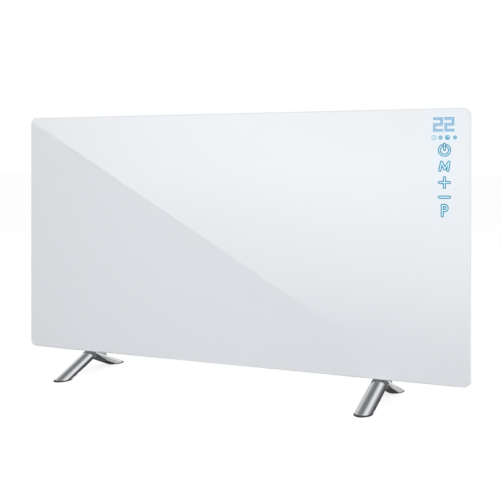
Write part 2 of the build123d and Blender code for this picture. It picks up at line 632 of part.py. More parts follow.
def ribbon_cable():
    """Flat cable from the back of the display board to the front of the power board."""
    upper = RIBBON_JOG / 2
    points = [
        (DISPLAY_BOARD_BACK_Y, upper),
        (PAN_INNER_Y - RIBBON_BEND, upper),
        (PAN_BACK_Y + RIBBON_BEND, -upper),
        (POWER_BOARD_FRONT_Y, -upper),
    ]
    lower = [(y, z - RIBBON_THICKNESS) for y, z in reversed(points)]
    strip = make_face(Polyline(*points, *lower, close=True))
    half = RIBBON_WIDTH / 2
    return across(strip, RIBBON_X - half, RIBBON_X + half, z=RIBBON_Z)


# ---- Electrics box
def electrics_box():
    outline = RectangleRounded(BOX_WIDTH, BOX_HEIGHT, BOX_CORNER_RADIUS)
    outer = slab(outline, PAN_BACK_Y, BOX_BACK_Y, x=BOX_MID_X, z=BOX_MID_Z)
    outer = chamfer(edges_at(outer, Axis.Y, BOX_BACK_Y), BOX_EDGE_CHAMFER)
    cavity_outline = RectangleRounded(
        BOX_WIDTH - 2 * BOX_WALL, BOX_HEIGHT - 2 * BOX_WALL, BOX_CORNER_RADIUS - BOX_WALL
    )
    box = outer - slab(
        cavity_outline, PAN_BACK_Y, BOX_INNER_BACK_Y, x=BOX_MID_X, z=BOX_MID_Z
    )
    slot = Rectangle(BOX_SLOT_LENGTH, BOX_SLOT_HEIGHT)
    slots = GridLocations(0, BOX_SLOT_PITCH, 1, BOX_SLOT_COUNT) * slot
    box -= slab(
        Sketch() + slots,
        BOX_INNER_BACK_Y - OVERRUN,
        BOX_BACK_Y + OVERRUN,
        x=BOX_MID_X,
        z=POWER_BOARD_MID_Z,
    )
    gap = 2 * SWITCH_CLEARANCE
    switch_hole = Rectangle(SWITCH_BODY_WIDTH + gap, SWITCH_BODY_LENGTH + gap)
    box -= across(
        switch_hole,
        BOX_RIGHT_X - BOX_WALL - OVERRUN,
        BOX_RIGHT_X + OVERRUN,
        y=BOX_MIDDLE_Y,
        z=SWITCH_Z,
    )
    return box - rod(
        GLAND_THREAD_RADIUS + GLAND_HOLE_CLEARANCE,
        (GLAND_X, BOX_MIDDLE_Y, BOX_BOTTOM_Z - OVERRUN),
        (GLAND_X, BOX_MIDDLE_Y, BOX_BOTTOM_Z + BOX_WALL + OVERRUN),
    )


def power_board():
    outline = Rectangle(POWER_BOARD_WIDTH, POWER_BOARD_HEIGHT)
    board = slab(
        outline, POWER_BOARD_FRONT_Y, POWER_BOARD_BACK_Y, x=BOX_MID_X, z=POWER_BOARD_MID_Z
    )
    hole = RegularPolygon(POST_NECK_RADIUS + POST_CLEARANCE, 6)
    front = POWER_BOARD_FRONT_Y - OVERRUN
    for x, z in POST_PLACES:
        board -= slab(hole, front, POWER_BOARD_BACK_Y + OVERRUN, x=x, z=z)
    return board


def board_posts():
    """Hexagonal snap posts: a shoulder under the board and a snap head over it."""
    levels = [
        (POST_RADIUS, PAN_BACK_Y, POWER_BOARD_FRONT_Y),
        (POST_NECK_RADIUS, POWER_BOARD_FRONT_Y, POWER_BOARD_BACK_Y),
        (POST_HEAD_RADIUS, POWER_BOARD_BACK_Y, POWER_BOARD_BACK_Y + POST_HEAD_HEIGHT),
    ]
    found = []
    for x, z in POST_PLACES:
        post = Part()
        for radius, front, back in levels:
            post += slab(RegularPolygon(radius, 6), front, back, x=x, z=z)
        found.append(post)
    return found


def component(x_offset, z_offset, width, height, depth, edge):
    """A moulded block on the back of the power board, placed from the board's centre."""
    outline = Rectangle(width, height)
    block = slab(
        outline,
        POWER_BOARD_BACK_Y,
        POWER_BOARD_BACK_Y + depth,
        x=BOX_MID_X + x_offset,
        z=POWER_BOARD_MID_Z + z_offset,
    )
    return chamfer(edges_at(block, Axis.Y, POWER_BOARD_BACK_Y + depth), edge)


def terminal_x(way):
    return BOX_MID_X + TERMINAL_SHIFT + (way - (TERMINAL_WAYS - 1) / 2) * TERMINAL_PITCH


def terminal_entry_z():
    """Inner end of the wire entries in the terminal block."""
    return POWER_BOARD_BOTTOM_Z + TERMINAL_RISE - TERMINAL_WIDTH / 2 + TERMINAL_ENTRY_DEPTH


def terminal_block():
    length = TERMINAL_WAYS * TERMINAL_PITCH + 2 * TERMINAL_END_WALL
    z_offset = TERMINAL_RISE - POWER_BOARD_HEIGHT / 2
    size = (length, TERMINAL_WIDTH, TERMINAL_DEPTH, TERMINAL_EDGE)
    block = component(TERMINAL_SHIFT, z_offset, *size)
    y = POWER_BOARD_BACK_Y + TERMINAL_ENTRY
    half = LEAD_RADIUS + TERMINAL_CLEARANCE
    top = terminal_entry_z()
    bottom = top - TERMINAL_ENTRY_DEPTH - OVERRUN
    for way in range(TERMINAL_WAYS):
        x = terminal_x(way)
        block -= between(x - half, x + half, y - half, y + half, bottom, top)
    return block


# ---- Bracket screws
def bracket_screws():
    """Hexagon-head screws through the brackets into the rivet nuts."""
    face = PAN_BACK_Y + NUT_HEAD_HEIGHT + BRACKET_STOCK
    found = []
    for x, z in BRACKET_SCREW_PLACES:
        head = slab(hexagon(M5_HEAD_HEX), face, face + M5_HEAD_HEIGHT, x=x, z=z)
        shank = slab(twelve_sided(M5_SHANK_RADIUS), face - M5_LENGTH, face, x=x, z=z)
        found.append(head + shank)
    return found


# ---- Power switch
def switch_plane():
    """At the rocker's pivot: local X is the panel's Z, local Z points out of the box side."""
    return Plane((PIVOT_X, BOX_MIDDLE_Y, SWITCH_Z), x_dir=(0, 0, 1), z_dir=(1, 0, 0))


def switch_body():
    place = switch_plane()
    bezel_face = PIVOT_DEPTH
    seat = bezel_face - SWITCH_BEZEL_HEIGHT
    bezel = Rectangle(
        SWITCH_BODY_LENGTH + 2 * SWITCH_END_LIP, SWITCH_BODY_WIDTH + 2 * SWITCH_SIDE_LIP
    )
    body = place * Pos(0, 0, seat) * extrude(bezel, SWITCH_BEZEL_HEIGHT)
    block = Rectangle(SWITCH_BODY_LENGTH, SWITCH_BODY_WIDTH)
    body += place * Pos(0, 0, seat) * extrude(block, -SWITCH_BODY_DEPTH)
    cavity = Rectangle(SWITCH_CAVITY_LENGTH, SWITCH_CAVITY_WIDTH)
    body -= place * Pos(0, 0, bezel_face) * extrude(cavity, -SWITCH_CAVITY_DEPTH)
    bore = PIVOT_PIN_RADIUS + PIVOT_PIN_CLEARANCE
    pin_reach = ROCKER_WIDTH / 2 + PIVOT_PIN_LENGTH + PIVOT_PIN_END_GAP
    body -= rod(
        bore,
        (PIVOT_X, BOX_MIDDLE_Y - pin_reach, SWITCH_Z),
        (PIVOT_X, BOX_MIDDLE_Y + pin_reach, SWITCH_Z),
    )
    blade = Rectangle(BLADE_THICKNESS, BLADE_WIDTH)
    for offset in (-BLADE_OFFSET, BLADE_OFFSET):
        body += place * Pos(offset, 0, seat - SWITCH_BODY_DEPTH) * extrude(blade, -BLADE_LENGTH)
    return body


def switch_rocker():
    """A drum about the pivot with a shallow V for its face, tilted to the ON side."""
    half = ROCKER_RADIUS + OVERRUN
    drum = Circle(ROCKER_RADIUS)
    rise = (ROCKER_EDGE_HEIGHT - ROCKER_VALLEY_HEIGHT) / ROCKER_RADIUS * half
    face_cut = make_face(
        Polyline(
            (-half, ROCKER_VALLEY_HEIGHT + rise),
            (0, ROCKER_VALLEY_HEIGHT),
            (half, ROCKER_VALLEY_HEIGHT + rise),
            (half, half),
            (-half, half),
            close=True,
        )
    )
    belly_cut = Pos(0, -ROCKER_BELLY - half / 2) * Rectangle(2 * half, half)
    section = drum - face_cut - belly_cut
    side = Plane(
        (PIVOT_X, BOX_MIDDLE_Y + ROCKER_WIDTH / 2, SWITCH_Z), x_dir=(0, 0, 1), z_dir=(0, 1, 0)
    )
    rocker = extrude(side * section, -ROCKER_WIDTH)
    pin_reach = ROCKER_WIDTH / 2 + PIVOT_PIN_LENGTH
    rocker += rod(
        PIVOT_PIN_RADIUS,
        (PIVOT_X, BOX_MIDDLE_Y - pin_reach, SWITCH_Z),
        (PIVOT_X, BOX_MIDDLE_Y + pin_reach, SWITCH_Z),
    )
    pivot = Axis((PIVOT_X, BOX_MIDDLE_Y, SWITCH_Z), (0, 1, 0))
    return rocker.rotate(pivot, -ROCKER_TILT)


# ---- Cable gland
def gland_place(height):
    return Pos(GLAND_X, BOX_MIDDLE_Y, height)


def gland_rod(radius, lowest, highest):
    """A round bar on the gland's axis."""
    return gland_place(lowest) * extrude(Circle(radius), highest - lowest)


def gland_body():
    thread_top = BOX_BOTTOM_Z + BOX_WALL + GLAND_THREAD_LENGTH
    hex_bottom = BOX_BOTTOM_Z - GLAND_HEX_HEIGHT
    sleeve_end = hex_bottom - GLAND_SLEEVE_LENGTH
    body = gland_place(hex_bottom) * extrude(hexagon(GLAND_HEX), GLAND_HEX_HEIGHT)
    body += gland_rod(GLAND_THREAD_RADIUS, BOX_BOTTOM_Z, thread_top)
    body += gland_rod(GLAND_SLEEVE_RADIUS, sleeve_end, hex_bottom)
    return body - gland_rod(GLAND_BORE_RADIUS, sleeve_end - OVERRUN, thread_top + OVERRUN)


def gland_locknut():
    ring = hexagon(GLAND_HEX) - Circle(GLAND_THREAD_RADIUS + THREAD_GAP)
    return gland_place(BOX_BOTTOM_Z + BOX_WALL) * extrude(ring, GLAND_NUT_HEIGHT)


def gland_cap():
    """Nut with twelve flats screwed on the sleeve: open above, with the cable mouth below."""
    top = BOX_BOTTOM_Z - GLAND_HEX_HEIGHT - GLAND_CAP_GAP
    bottom = top - GLAND_CAP_HEIGHT
    outline = RegularPolygon(GLAND_SLEEVE_RADIUS + GLAND_CAP_WALL, 12)
    cap = gland_place(bottom) * extrude(outline, GLAND_CAP_HEIGHT)
    cap = chamfer(edges_at(cap, Axis.Z, bottom), GLAND_CAP_CHAMFER)
    cap -= gland_rod(CABLE_BORE_RADIUS + GLAND_MOUTH_GAP, bottom - OVERRUN, top)
    bore = GLAND_SLEEVE_RADIUS + THREAD_GAP
    return cap - gland_rod(bore, bottom + GLAND_CAP_FLOOR, top + OVERRUN)


def gland_seal():
    """Rubber ring inside the sleeve; the cable passes through its bore."""
    lowest = BOX_BOTTOM_Z - GLAND_HEX_HEIGHT - GLAND_SLEEVE_LENGTH - SEAL_PROUD
    highest = lowest + SEAL_LENGTH
    bore = gland_rod(CABLE_BORE_RADIUS, lowest - OVERRUN, highest + OVERRUN)
    return gland_rod(GLAND_BORE_RADIUS, lowest, highest) - bore


# ---- Tip-over switch
def tip_switch_case():
    outer = between(
        TIP_X, TIP_X + TIP_CASE_WIDTH, TIP_FRONT_Y, TIP_BACK_Y, TIP_BOTTOM_Z, TIP_TOP_Z
    )
    wall = TIP_CASE_WALL
    hollow = between(
        TIP_X + wall,
        TIP_X + TIP_CASE_WIDTH + OVERRUN,
        TIP_FRONT_Y + wall,
        TIP_BACK_Y - wall,
        TIP_BOTTOM_Z + wall,
        TIP_TOP_Z - wall,
    )
    return outer - hollow - tip_pin_bar(OVERRUN)


def tip_pin_bar(past):
    """The pin's bar, from outside face to outside face and a length past each."""
    start = TIP_X - past
    end = TIP_X + TIP_CASE_WIDTH + TIP_LID_THICKNESS + past
    return rod(TIP_PIN_RADIUS, (start, TIP_PIVOT_Y, TIP_PIVOT_Z), (end, TIP_PIVOT_Y, TIP_PIVOT_Z))


def tip_switch_lid():
    lid = between(
        TIP_X + TIP_CASE_WIDTH,
        TIP_X + TIP_CASE_WIDTH + TIP_LID_THICKNESS,
        TIP_FRONT_Y,
        TIP_BACK_Y,
        TIP_BOTTOM_Z,
        TIP_TOP_Z,
    )
    return lid - tip_pin_bar(OVERRUN)


def tip_pendulum():
    """An arm with an eye on the pin and a square weight at its lower end."""
    middle_x = TIP_X + (TIP_CASE_WIDTH + TIP_CASE_WALL) / 2
    half = TIP_ARM_THICKNESS / 2
    arm = Pos(0, -TIP_ARM_LENGTH / 2) * Rectangle(TIP_ARM_WIDTH, TIP_ARM_LENGTH)
    plate = Circle(TIP_EYE_RADIUS) + arm
    pendulum = across(plate, middle_x - half, middle_x + half, y=TIP_PIVOT_Y, z=TIP_PIVOT_Z)
    bob = across(
        Rectangle(TIP_BOB_SIZE, TIP_BOB_SIZE),
        middle_x - TIP_BOB_LENGTH / 2,
        middle_x + TIP_BOB_LENGTH / 2,
        y=TIP_PIVOT_Y,
        z=TIP_PIVOT_Z - TIP_ARM_LENGTH,
    )
    eye = across(
        Circle(TIP_PIN_RADIUS + TIP_PIN_CLEARANCE),
        middle_x - half - OVERRUN,
        middle_x + half + OVERRUN,
        y=TIP_PIVOT_Y,
        z=TIP_PIVOT_Z,
    )
    return pendulum + bob - eye


# ---- Leads, grommet, sensor, earth stud
def grommet():
    hole = Rectangle(GROMMET_HOLE_WIDTH, GROMMET_HOLE_LENGTH)
    lip = Rectangle(GROMMET_HOLE_WIDTH + 2 * GROMMET_LIP, GROMMET_HOLE_LENGTH + 2 * GROMMET_LIP)
    bore = Rectangle(GROMMET_HOLE_WIDTH - 2 * GROMMET_WALL, GROMMET_HOLE_LENGTH - 2 * GROMMET_WALL)
    place = dict(x=CHANNEL_X, z=GROMMET_Z)
    ring = slab(lip, PAN_INNER_Y - GROMMET_LIP, PAN_INNER_Y, **place)
    ring += slab(hole, PAN_INNER_Y, PAN_BACK_Y, **place)
    ring += slab(lip, PAN_BACK_Y, PAN_BACK_Y + GROMMET_LIP, **place)
    reach = GROMMET_LIP + OVERRUN
    return ring - slab(bore, PAN_INNER_Y - reach, PAN_BACK_Y + reach, **place)


def element_lead(bar_z, hole_z, way):
    """From a busbar's tab, up or down the free strip, out of the pan and into its terminal."""
    run_y = BUSBAR_BACK_Y + LEAD_RADIUS
    tab_x = STACK_RIGHT_X + BUSBAR_TAB / 2
    entry_y = POWER_BOARD_BACK_Y + TERMINAL_ENTRY
    route = Polyline(
        (tab_x, run_y, bar_z),
        (CHANNEL_X, run_y, bar_z),
        (CHANNEL_X, run_y, hole_z),
        (CHANNEL_X, entry_y, hole_z),
        (terminal_x(way), entry_y, POWER_BOARD_BOTTOM_Z - LEAD_BEND_DROP),
        (terminal_x(way), entry_y, terminal_entry_z() - LEAD_END_GAP),
    )
    start = Plane((tab_x, run_y, bar_z), z_dir=(1, 0, 0))
    return sweep(start * RegularPolygon(LEAD_RADIUS, 6), path=route, transition=Transition.RIGHT)


def room_sensor():
    """A bead on a small clip that stands on the pan's lower wall."""
    front = FOIL_BACK_Y
    back = PAN_INNER_Y - PAN_BACK_CHAMFER
    half = SENSOR_CLIP_WIDTH / 2
    clip_top = PAN_INNER_BOTTOM_Z + SENSOR_CLIP_HEIGHT
    clip = between(-half, half, front, back, PAN_INNER_BOTTOM_Z, clip_top)
    z = clip_top - SENSOR_BEAD_SINK + SENSOR_BEAD_RADIUS
    start = (0, front + SENSOR_END_INSET, z)
    return clip + rod(SENSOR_BEAD_RADIUS, start, (0, back - SENSOR_END_INSET, z))


def earth_stud():
    nut = slab(hexagon(EARTH_NUT_HEX), 0, EARTH_NUT_HEIGHT)
    stud = slab(Circle(EARTH_STUD_RADIUS), 0, EARTH_STUD_LENGTH)
    return Pos(EARTH_X, PAN_BACK_Y, EARTH_Z) * (nut + stud)


# ---- Feet
def leg_bar(side, section):
    """A section run down one leg: side is -1 for the front leg and 1 for the rear one."""
    angle = radians(LEG_ANGLE)
    start = Plane((0, 0, APEX_Z), x_dir=(1, 0, 0), z_dir=(0, side * cos(angle), -sin(angle)))
    length = (APEX_Z + TUBE_THICKNESS) / sin(angle)
    bar = extrude(start * section, length, both=True)
    front, back = sorted((0, side * 2 * length))
    return bar & between(-TUBE_WIDTH, TUBE_WIDTH, front, back, 0, 2 * RIDGE_Z)


def oval_radii(shrink):
    """Half width, half thickness, end radius and crown radius of the oval or one inside it."""
    wide = TUBE_WIDTH / 2 - shrink
    thick = TUBE_THICKNESS / 2 - shrink
    end = TUBE_END_RADIUS - shrink
    crown = ((wide - end) ** 2 + thick ** 2 - end ** 2) / (2 * (thick - end))
    return wide, thick, end, crown


def oval_places(shrink):
    """Half width, half thickness, and where a wide arc meets a narrow one at upper right."""
    wide, thick, end, crown = oval_radii(shrink)
    reach = end / (crown - end)
    return wide, thick, (wide - end) * (1 + reach), (crown - thick) * reach


def oval(shrink=0.0):
    """Two wide and two narrow arcs that run smoothly into each other."""
    wide, thick, x, z = oval_places(shrink)
    top = ThreePointArc((-x, z), (0, thick), (x, z))
    right = ThreePointArc((x, z), (wide, 0), (x, -z))
    bottom = ThreePointArc((x, -z), (0, -thick), (-x, -z))
    left = ThreePointArc((-x, -z), (-wide, 0), (-x, z))
    return make_face([top, right, bottom, left])


def eight_sided_oval(shrink):
    """An octagon whose corners lie on an oval."""
    wide, thick, x, z = oval_places(shrink)
    upper = [(-wide, 0), (-x, z), (0, thick), (x, z)]
    lower = [(wide, 0), (x, -z), (0, -thick), (-x, -z)]
    return make_face(Polyline(*upper, *lower, close=True))


def oval_legs(shrink=0.0):
    """Front and rear legs as solid bars that meet in the plane Y = 0."""
    section = oval(shrink)
    return leg_bar(-1, section) + leg_bar(1, section)


def above(shape, height):
    size = 4 * RIDGE_Z / sin(radians(LEG_ANGLE))
    return shape & between(-size, size, -size, size, height, size)


def foot_tube():
    """Both legs, mitred in the plane Y = 0 and open at the ends."""
    return above(oval_legs(), SOLE_THICKNESS) - oval_legs(TUBE_WALL)


def sole(side):
    """Rubber sole: it carries on the leg's outline to the floor, with a plug in the tube."""
    pad = leg_bar(side, oval())
    pad -= above(pad, SOLE_THICKNESS)
    plug = leg_bar(side, eight_sided_oval(TUBE_WALL + PLUG_CLEARANCE))
    plug -= above(plug, SOLE_THICKNESS + PLUG_HEIGHT)
    return pad + plug


def foot_bracket():
    """A steel upright behind the pan, welded to a saddle shaped to the tube's crown."""
    slant = cos(radians(LEG_ANGLE))
    *_, crown = oval_radii(0.0)
    half = WING_WIDTH / 2
    crown_drop = (crown - sqrt(crown ** 2 - half ** 2)) / slant
    underside = RIDGE_Z - crown_drop - WING_WRAP
    topside = RIDGE_Z + BRACKET_STOCK / slant
    front = PAN_FRONT_Y + PAN_WALL + FLANGE_CLEARANCE
    rear = WING_REAR_REACH
    saddle_points = [
        (front, underside + front * LEG_SLOPE),
        (0, underside),
        (rear, underside - rear * LEG_SLOPE),
        (rear, topside - rear * LEG_SLOPE),
        (0, topside),
        (front, topside + front * LEG_SLOPE),
    ]
    saddle = across(make_face(Polyline(*saddle_points, close=True)), -half, half)
    bracket = saddle - oval_legs(-WELD_GAP)

    upright_front = PAN_BACK_Y + NUT_HEAD_HEIGHT
    upright_back = upright_front + BRACKET_STOCK
    top = BRACKET_SCREW_Z + BRACKET_ABOVE_SCREWS
    bottom = PANEL_LIFT + PAN_INSET
    plate = chamfer(Rectangle(BRACKET_WIDTH, top - bottom).vertices(), BRACKET_CORNER)
    bracket += slab(plate, upright_front, upright_back, z=(top + bottom) / 2)
    foot = topside - upright_back * LEG_SLOPE - UPRIGHT_SINK
    shoulder = BRACKET_WIDTH / 2 - BRACKET_CORNER
    neck_points = [
        (-half, foot),
        (half, foot),
        (half, bottom - NECK_DROP),
        (shoulder, bottom + BRACKET_CORNER),
        (-shoulder, bottom + BRACKET_CORNER),
        (-half, bottom - NECK_DROP),
    ]
    neck = make_face(Polyline(*neck_points, close=True))
    bracket += slab(neck, upright_front, upright_back)

    hole = twelve_sided(M5_CLEARANCE_RADIUS)
    for x in (-BRACKET_SCREW_SPACING / 2, BRACKET_SCREW_SPACING / 2):
        bracket -= slab(
            hole, upright_front - OVERRUN, upright_back + OVERRUN, x=x, z=BRACKET_SCREW_Z
        )
    return bracket


def on_both_feet(shape):
    return [Pos(LEFT_FOOT_X, 0, 0) * shape, Pos(RIGHT_FOOT_X, 0, 0) * shape]


# ---- Write every node
save("front_glass", front_glass())
save("bonding_bead", bonding_bead())
save("rear_pan", rear_pan())
save("heating_film", stack_sheet(GLASS_BACK_Y, FILM_BACK_Y))
save("busbars", *busbars())
for name, front, back in (
    ("insulation_board", BUSBAR_BACK_Y, INSULATION_BACK_Y),
    ("reflector_foil", INSULATION_BACK_Y, FOIL_BACK_Y),
):
    save(name, with_windows(stack_sheet(front, back), front, back))
save("thermal_cutouts", *thermal_cutouts())
save("upper_rail", rail(UPPER_RAIL_Z, UPPER_RAIL_RIGHT_X))
save("lower_rail", rail(LOWER_RAIL_Z, LOWER_RAIL_RIGHT_X))
save("rivet_nuts", *rivet_nuts())

save("display_frame", display_frame())
save("display_board", display_board())
save("digit_modules", *digit_modules())
save("diffuser", diffuser())
save("touch_pads", *touch_pads())
save("ribbon_cable", ribbon_cable())

save("electrics_box", electrics_box())
save("power_board", power_board())
save("board_posts", *board_posts())
save("relay", component(*RELAY))
save("transformer", component(*TRANSFORMER))
save("capacitor", component(*CAPACITOR))
save("terminal_block", terminal_block())
save("switch_body", switch_body())
save("switch_rocker", switch_rocker())
save("gland_body", gland_body())
save("gland_locknut", gland_locknut())
save("gland_cap", gland_cap())
save("gland_seal", gland_seal())
save("tip_switch_case", tip_switch_case())
save("tip_switch_lid", tip_switch_lid())
save("tip_pivot_pin", tip_pin_bar(0.0))
save("tip_pendulum", tip_pendulum())

save("lead_grommet", grommet())
upper_bar_z, lower_bar_z = busbar_places()
save(
    "element_leads",
    element_lead(upper_bar_z, GROMMET_Z + LEAD_SPACING / 2, way=3),
    element_lead(lower_bar_z, GROMMET_Z - LEAD_SPACING / 2, way=2),
)
save("room_sensor", room_sensor())
save("earth_stud", earth_stud())

for name, shape in (("tube", foot_tube()), ("bracket", foot_bracket())):
    left, right = on_both_feet(shape)
    save(f"foot_{name}_left", left)
    save(f"foot_{name}_right", right)
save("foot_soles", *on_both_feet(sole(-1)), *on_both_feet(sole(1)))
save("bracket_screws", *bracket_screws())
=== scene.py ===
import json
import math

import bmesh
import bpy
from mathutils import Matrix, Vector
from mathutils.geometry import delaunay_2d_cdt


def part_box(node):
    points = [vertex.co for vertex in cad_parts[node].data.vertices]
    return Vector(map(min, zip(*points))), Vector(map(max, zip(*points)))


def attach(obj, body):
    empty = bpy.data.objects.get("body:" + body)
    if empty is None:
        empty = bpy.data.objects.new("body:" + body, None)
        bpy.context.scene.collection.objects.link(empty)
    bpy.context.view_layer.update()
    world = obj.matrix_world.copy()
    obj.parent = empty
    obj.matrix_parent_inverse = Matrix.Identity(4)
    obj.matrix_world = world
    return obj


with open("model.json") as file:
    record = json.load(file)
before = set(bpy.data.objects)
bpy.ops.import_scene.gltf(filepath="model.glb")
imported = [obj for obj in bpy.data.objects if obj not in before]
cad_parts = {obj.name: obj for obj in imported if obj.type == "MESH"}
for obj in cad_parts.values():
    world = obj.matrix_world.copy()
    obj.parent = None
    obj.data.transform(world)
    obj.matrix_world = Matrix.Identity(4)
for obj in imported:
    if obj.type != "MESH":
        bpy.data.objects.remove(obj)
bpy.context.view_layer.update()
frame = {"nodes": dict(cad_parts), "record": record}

# Metres throughout, in the frame of the CAD: X to the viewer's right, Y back, Z up.
HEATER = "heater"
ROCKER = "rocker"

GLASS_LOW, GLASS_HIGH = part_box("front_glass")
GLASS_FRONT_Y = GLASS_LOW[1]
GLASS_TOP_Z = GLASS_HIGH[2]
DISPLAY_X = 0.3926           # centre line of the display and its keys
DIGITS_Z = GLASS_TOP_Z - 0.0260
ICONS_Z = GLASS_TOP_Z - 0.0474
POWER_Z = GLASS_TOP_Z - 0.0673
MODE_Z = GLASS_TOP_Z - 0.0940
PLUS_Z = GLASS_TOP_Z - 0.1203
MINUS_Z = GLASS_TOP_Z - 0.1441
PROGRAM_Z = GLASS_TOP_Z - 0.1660

LEG_ANGLE = math.radians(20.5)   # both legs of a foot, above the floor
FEET_X = [
    sum(corner[0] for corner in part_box(node)) / 2
    for node in ("foot_tube_left", "foot_tube_right")
]
RIDGE_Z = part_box("foot_tube_left")[1][2]


def srgb(r, g, b):
    """A colour given as screen values from 0 to 255, in linear light."""
    found = []
    for value in (r, g, b):
        c = value / 255
        found.append(c / 12.92 if c <= 0.04045 else ((c + 0.055) / 1.055) ** 2.4)
    return (*found, 1.0)


def math_node(nodes, links, operation, *values, clamp=False):
    """A math node fed with numbers or sockets; gives its output."""
    node = nodes.new("ShaderNodeMath")
    node.operation = operation
    node.use_clamp = clamp
    for socket, value in zip(node.inputs, values):
        if isinstance(value, (int, float)):
            socket.default_value = value
        else:
            links.new(value, socket)
    return node.outputs[0]


def add_object(name, data):
    obj = bpy.data.objects.new(name, data)
    bpy.context.collection.objects.link(obj)
    return obj


# ---- Materials
class Material:
    """A node material with a few short ways to add procedural detail."""

    def __init__(self, name, base=(0.8, 0.8, 0.8, 1.0), **sockets):
        self.mat = bpy.data.materials.new(name)
        self.mat.use_nodes = True
        self.nodes = self.mat.node_tree.nodes
        self.links = self.mat.node_tree.links
        self.shader = self.nodes["Principled BSDF"]
        self.shader.inputs["Base Color"].default_value = base
        for key, value in sockets.items():
            self.shader.inputs[key.replace("_", " ")].default_value = value
        self.mat.diffuse_color = base
        self.coords = self.add("ShaderNodeTexCoord").outputs["Object"]

    def add(self, kind, **settings):
        node = self.nodes.new(kind)
        for key, value in settings.items():
            setattr(node, key, value)
        return node

    def link(self, source, target):
        self.links.new(source, target)

    def math(self, operation, *values, clamp=False):
        return math_node(self.nodes, self.links, operation, *values, clamp=clamp)

    def axes(self, source=None):
        node = self.add("ShaderNodeSeparateXYZ")
        self.link(source or self.coords, node.inputs[0])
        return node.outputs

    def scaled(self, x, y, z, source=None):
        node = self.add("ShaderNodeMapping")
        node.inputs["Scale"].default_value = (x, y, z)
        self.link(source or self.coords, node.inputs["Vector"])
        return node.outputs[0]

    def noise(self, scale, detail, rough=0.5, source=None):
        node = self.add("ShaderNodeTexNoise")
        node.inputs["Scale"].default_value = scale
        node.inputs["Detail"].default_value = detail
        node.inputs["Roughness"].default_value = rough
        self.link(source or self.coords, node.inputs["Vector"])
        return node.outputs["Fac"]

    def voronoi(self, scale):
        node = self.add("ShaderNodeTexVoronoi")
        node.inputs["Scale"].default_value = scale
        self.link(self.coords, node.inputs["Vector"])
        return node.outputs["Distance"]

    def ramp(self, value, *stops):
        node = self.add("ShaderNodeValToRGB")
        points = node.color_ramp.elements
        while len(points) < len(stops):
            points.new(0.5)
        for point, (place, colour) in zip(points, stops):
            point.position = place
            point.color = colour
        self.link(value, node.inputs[0])
        return node.outputs[0]

    def mix(self, factor, a, b):
        node = self.add("ShaderNodeMix", data_type="RGBA")
        self.link(factor, node.inputs["Factor"])
        for socket, value in ((node.inputs[6], a), (node.inputs[7], b)):
            if isinstance(value, tuple):
                socket.default_value = value
            else:
                self.link(value, socket)
        return node.outputs[2]

    def span(self, value, low, high):
        """Maps a 0..1 value to low..high."""
        node = self.add("ShaderNodeMapRange")
        node.inputs["To Min"].default_value = low
        node.inputs["To Max"].default_value = high
        self.link(value, node.inputs["Value"])
        return node.outputs[0]

    def colour(self, value):
        self.link(value, self.shader.inputs["Base Color"])

    def rough(self, value, low, high):
        self.link(self.span(value, low, high), self.shader.inputs["Roughness"])

    def bump(self, value, strength, distance):
        node = self.add("ShaderNodeBump")
        node.inputs["Strength"].default_value = strength
        node.inputs["Distance"].default_value = distance
        self.link(value, node.inputs["Height"])
        self.link(node.outputs[0], self.shader.inputs["Normal"])


def tint(colour, factor):
    """A colour made darker or lighter."""
    return (*[min(1.0, c * factor) for c in colour[:3]], 1.0)


def grained(name, base, rough=(0.4, 0.5), grain=900.0, depth=0.00004, spread=0.06, **sockets):
    """Moulded or coated surface: slight mottling, uneven gloss and a fine grain."""
    m = Material(name, base, **sockets)
    mottle = m.noise(24.0, 4.0)
    m.colour(m.ramp(mottle, (0.3, tint(base, 1 - spread)), (0.7, tint(base, 1 + spread))))
    m.rough(m.noise(60.0, 3.0), *rough)
    m.bump(m.noise(grain, 2.0), 0.35, depth)
    return m.mat


# Light that spreads from each legend: its height, half width, half height and strength
GLOWS = (
    (DIGITS_Z, 0.0205, 0.0140, 0.9),
    (ICONS_Z, 0.0220, 0.0055, 0.6),
    (POWER_Z, 0.0125, 0.0125, 1.0),
    (MODE_Z, 0.0115, 0.0105, 1.0),
    (PLUS_Z, 0.0115, 0.0115, 0.7),
    (MINUS_Z, 0.0115, 0.0050, 0.8),
    (PROGRAM_Z, 0.0085, 0.0120, 1.0),
)
HALO_TINT = 0.15             # how far the spread light colours the paint
HALO_GLOW = 0.05             # and how strongly the paint gives light there
GLASS_EDGE_SHARPNESS = 6.0


def white_glass():
    """Back-painted white glass: cool white, nearly a mirror, with a faintly green edge."""
    face = srgb(225, 228, 232)
    edge = srgb(229, 235, 237)
    m = Material("white_glass", face, IOR=1.5)
    drift = m.noise(2.2, 2.0)
    paint = m.ramp(drift, (0.3, tint(face, 0.992)), (0.7, tint(face, 1.008)))
    geometry = m.add("ShaderNodeNewGeometry")
    facing = m.axes(geometry.outputs["Normal"])[1]
    is_face = m.math("POWER", m.math("ABSOLUTE", facing), GLASS_EDGE_SHARPNESS)
    is_edge = m.math("SUBTRACT", 1.0, is_face, clamp=True)
    spread = light_spread(m)
    tinted = m.mix(m.math("MULTIPLY", spread, HALO_TINT), paint, srgb(150, 222, 246))
    m.colour(m.mix(is_edge, tinted, edge))
    m.rough(m.noise(9.0, 4.0), 0.015, 0.035)
    m.shader.inputs["Emission Color"].default_value = srgb(120, 205, 245)
    m.link(m.math("MULTIPLY", spread, HALO_GLOW), m.shader.inputs["Emission Strength"])
    return m.mat


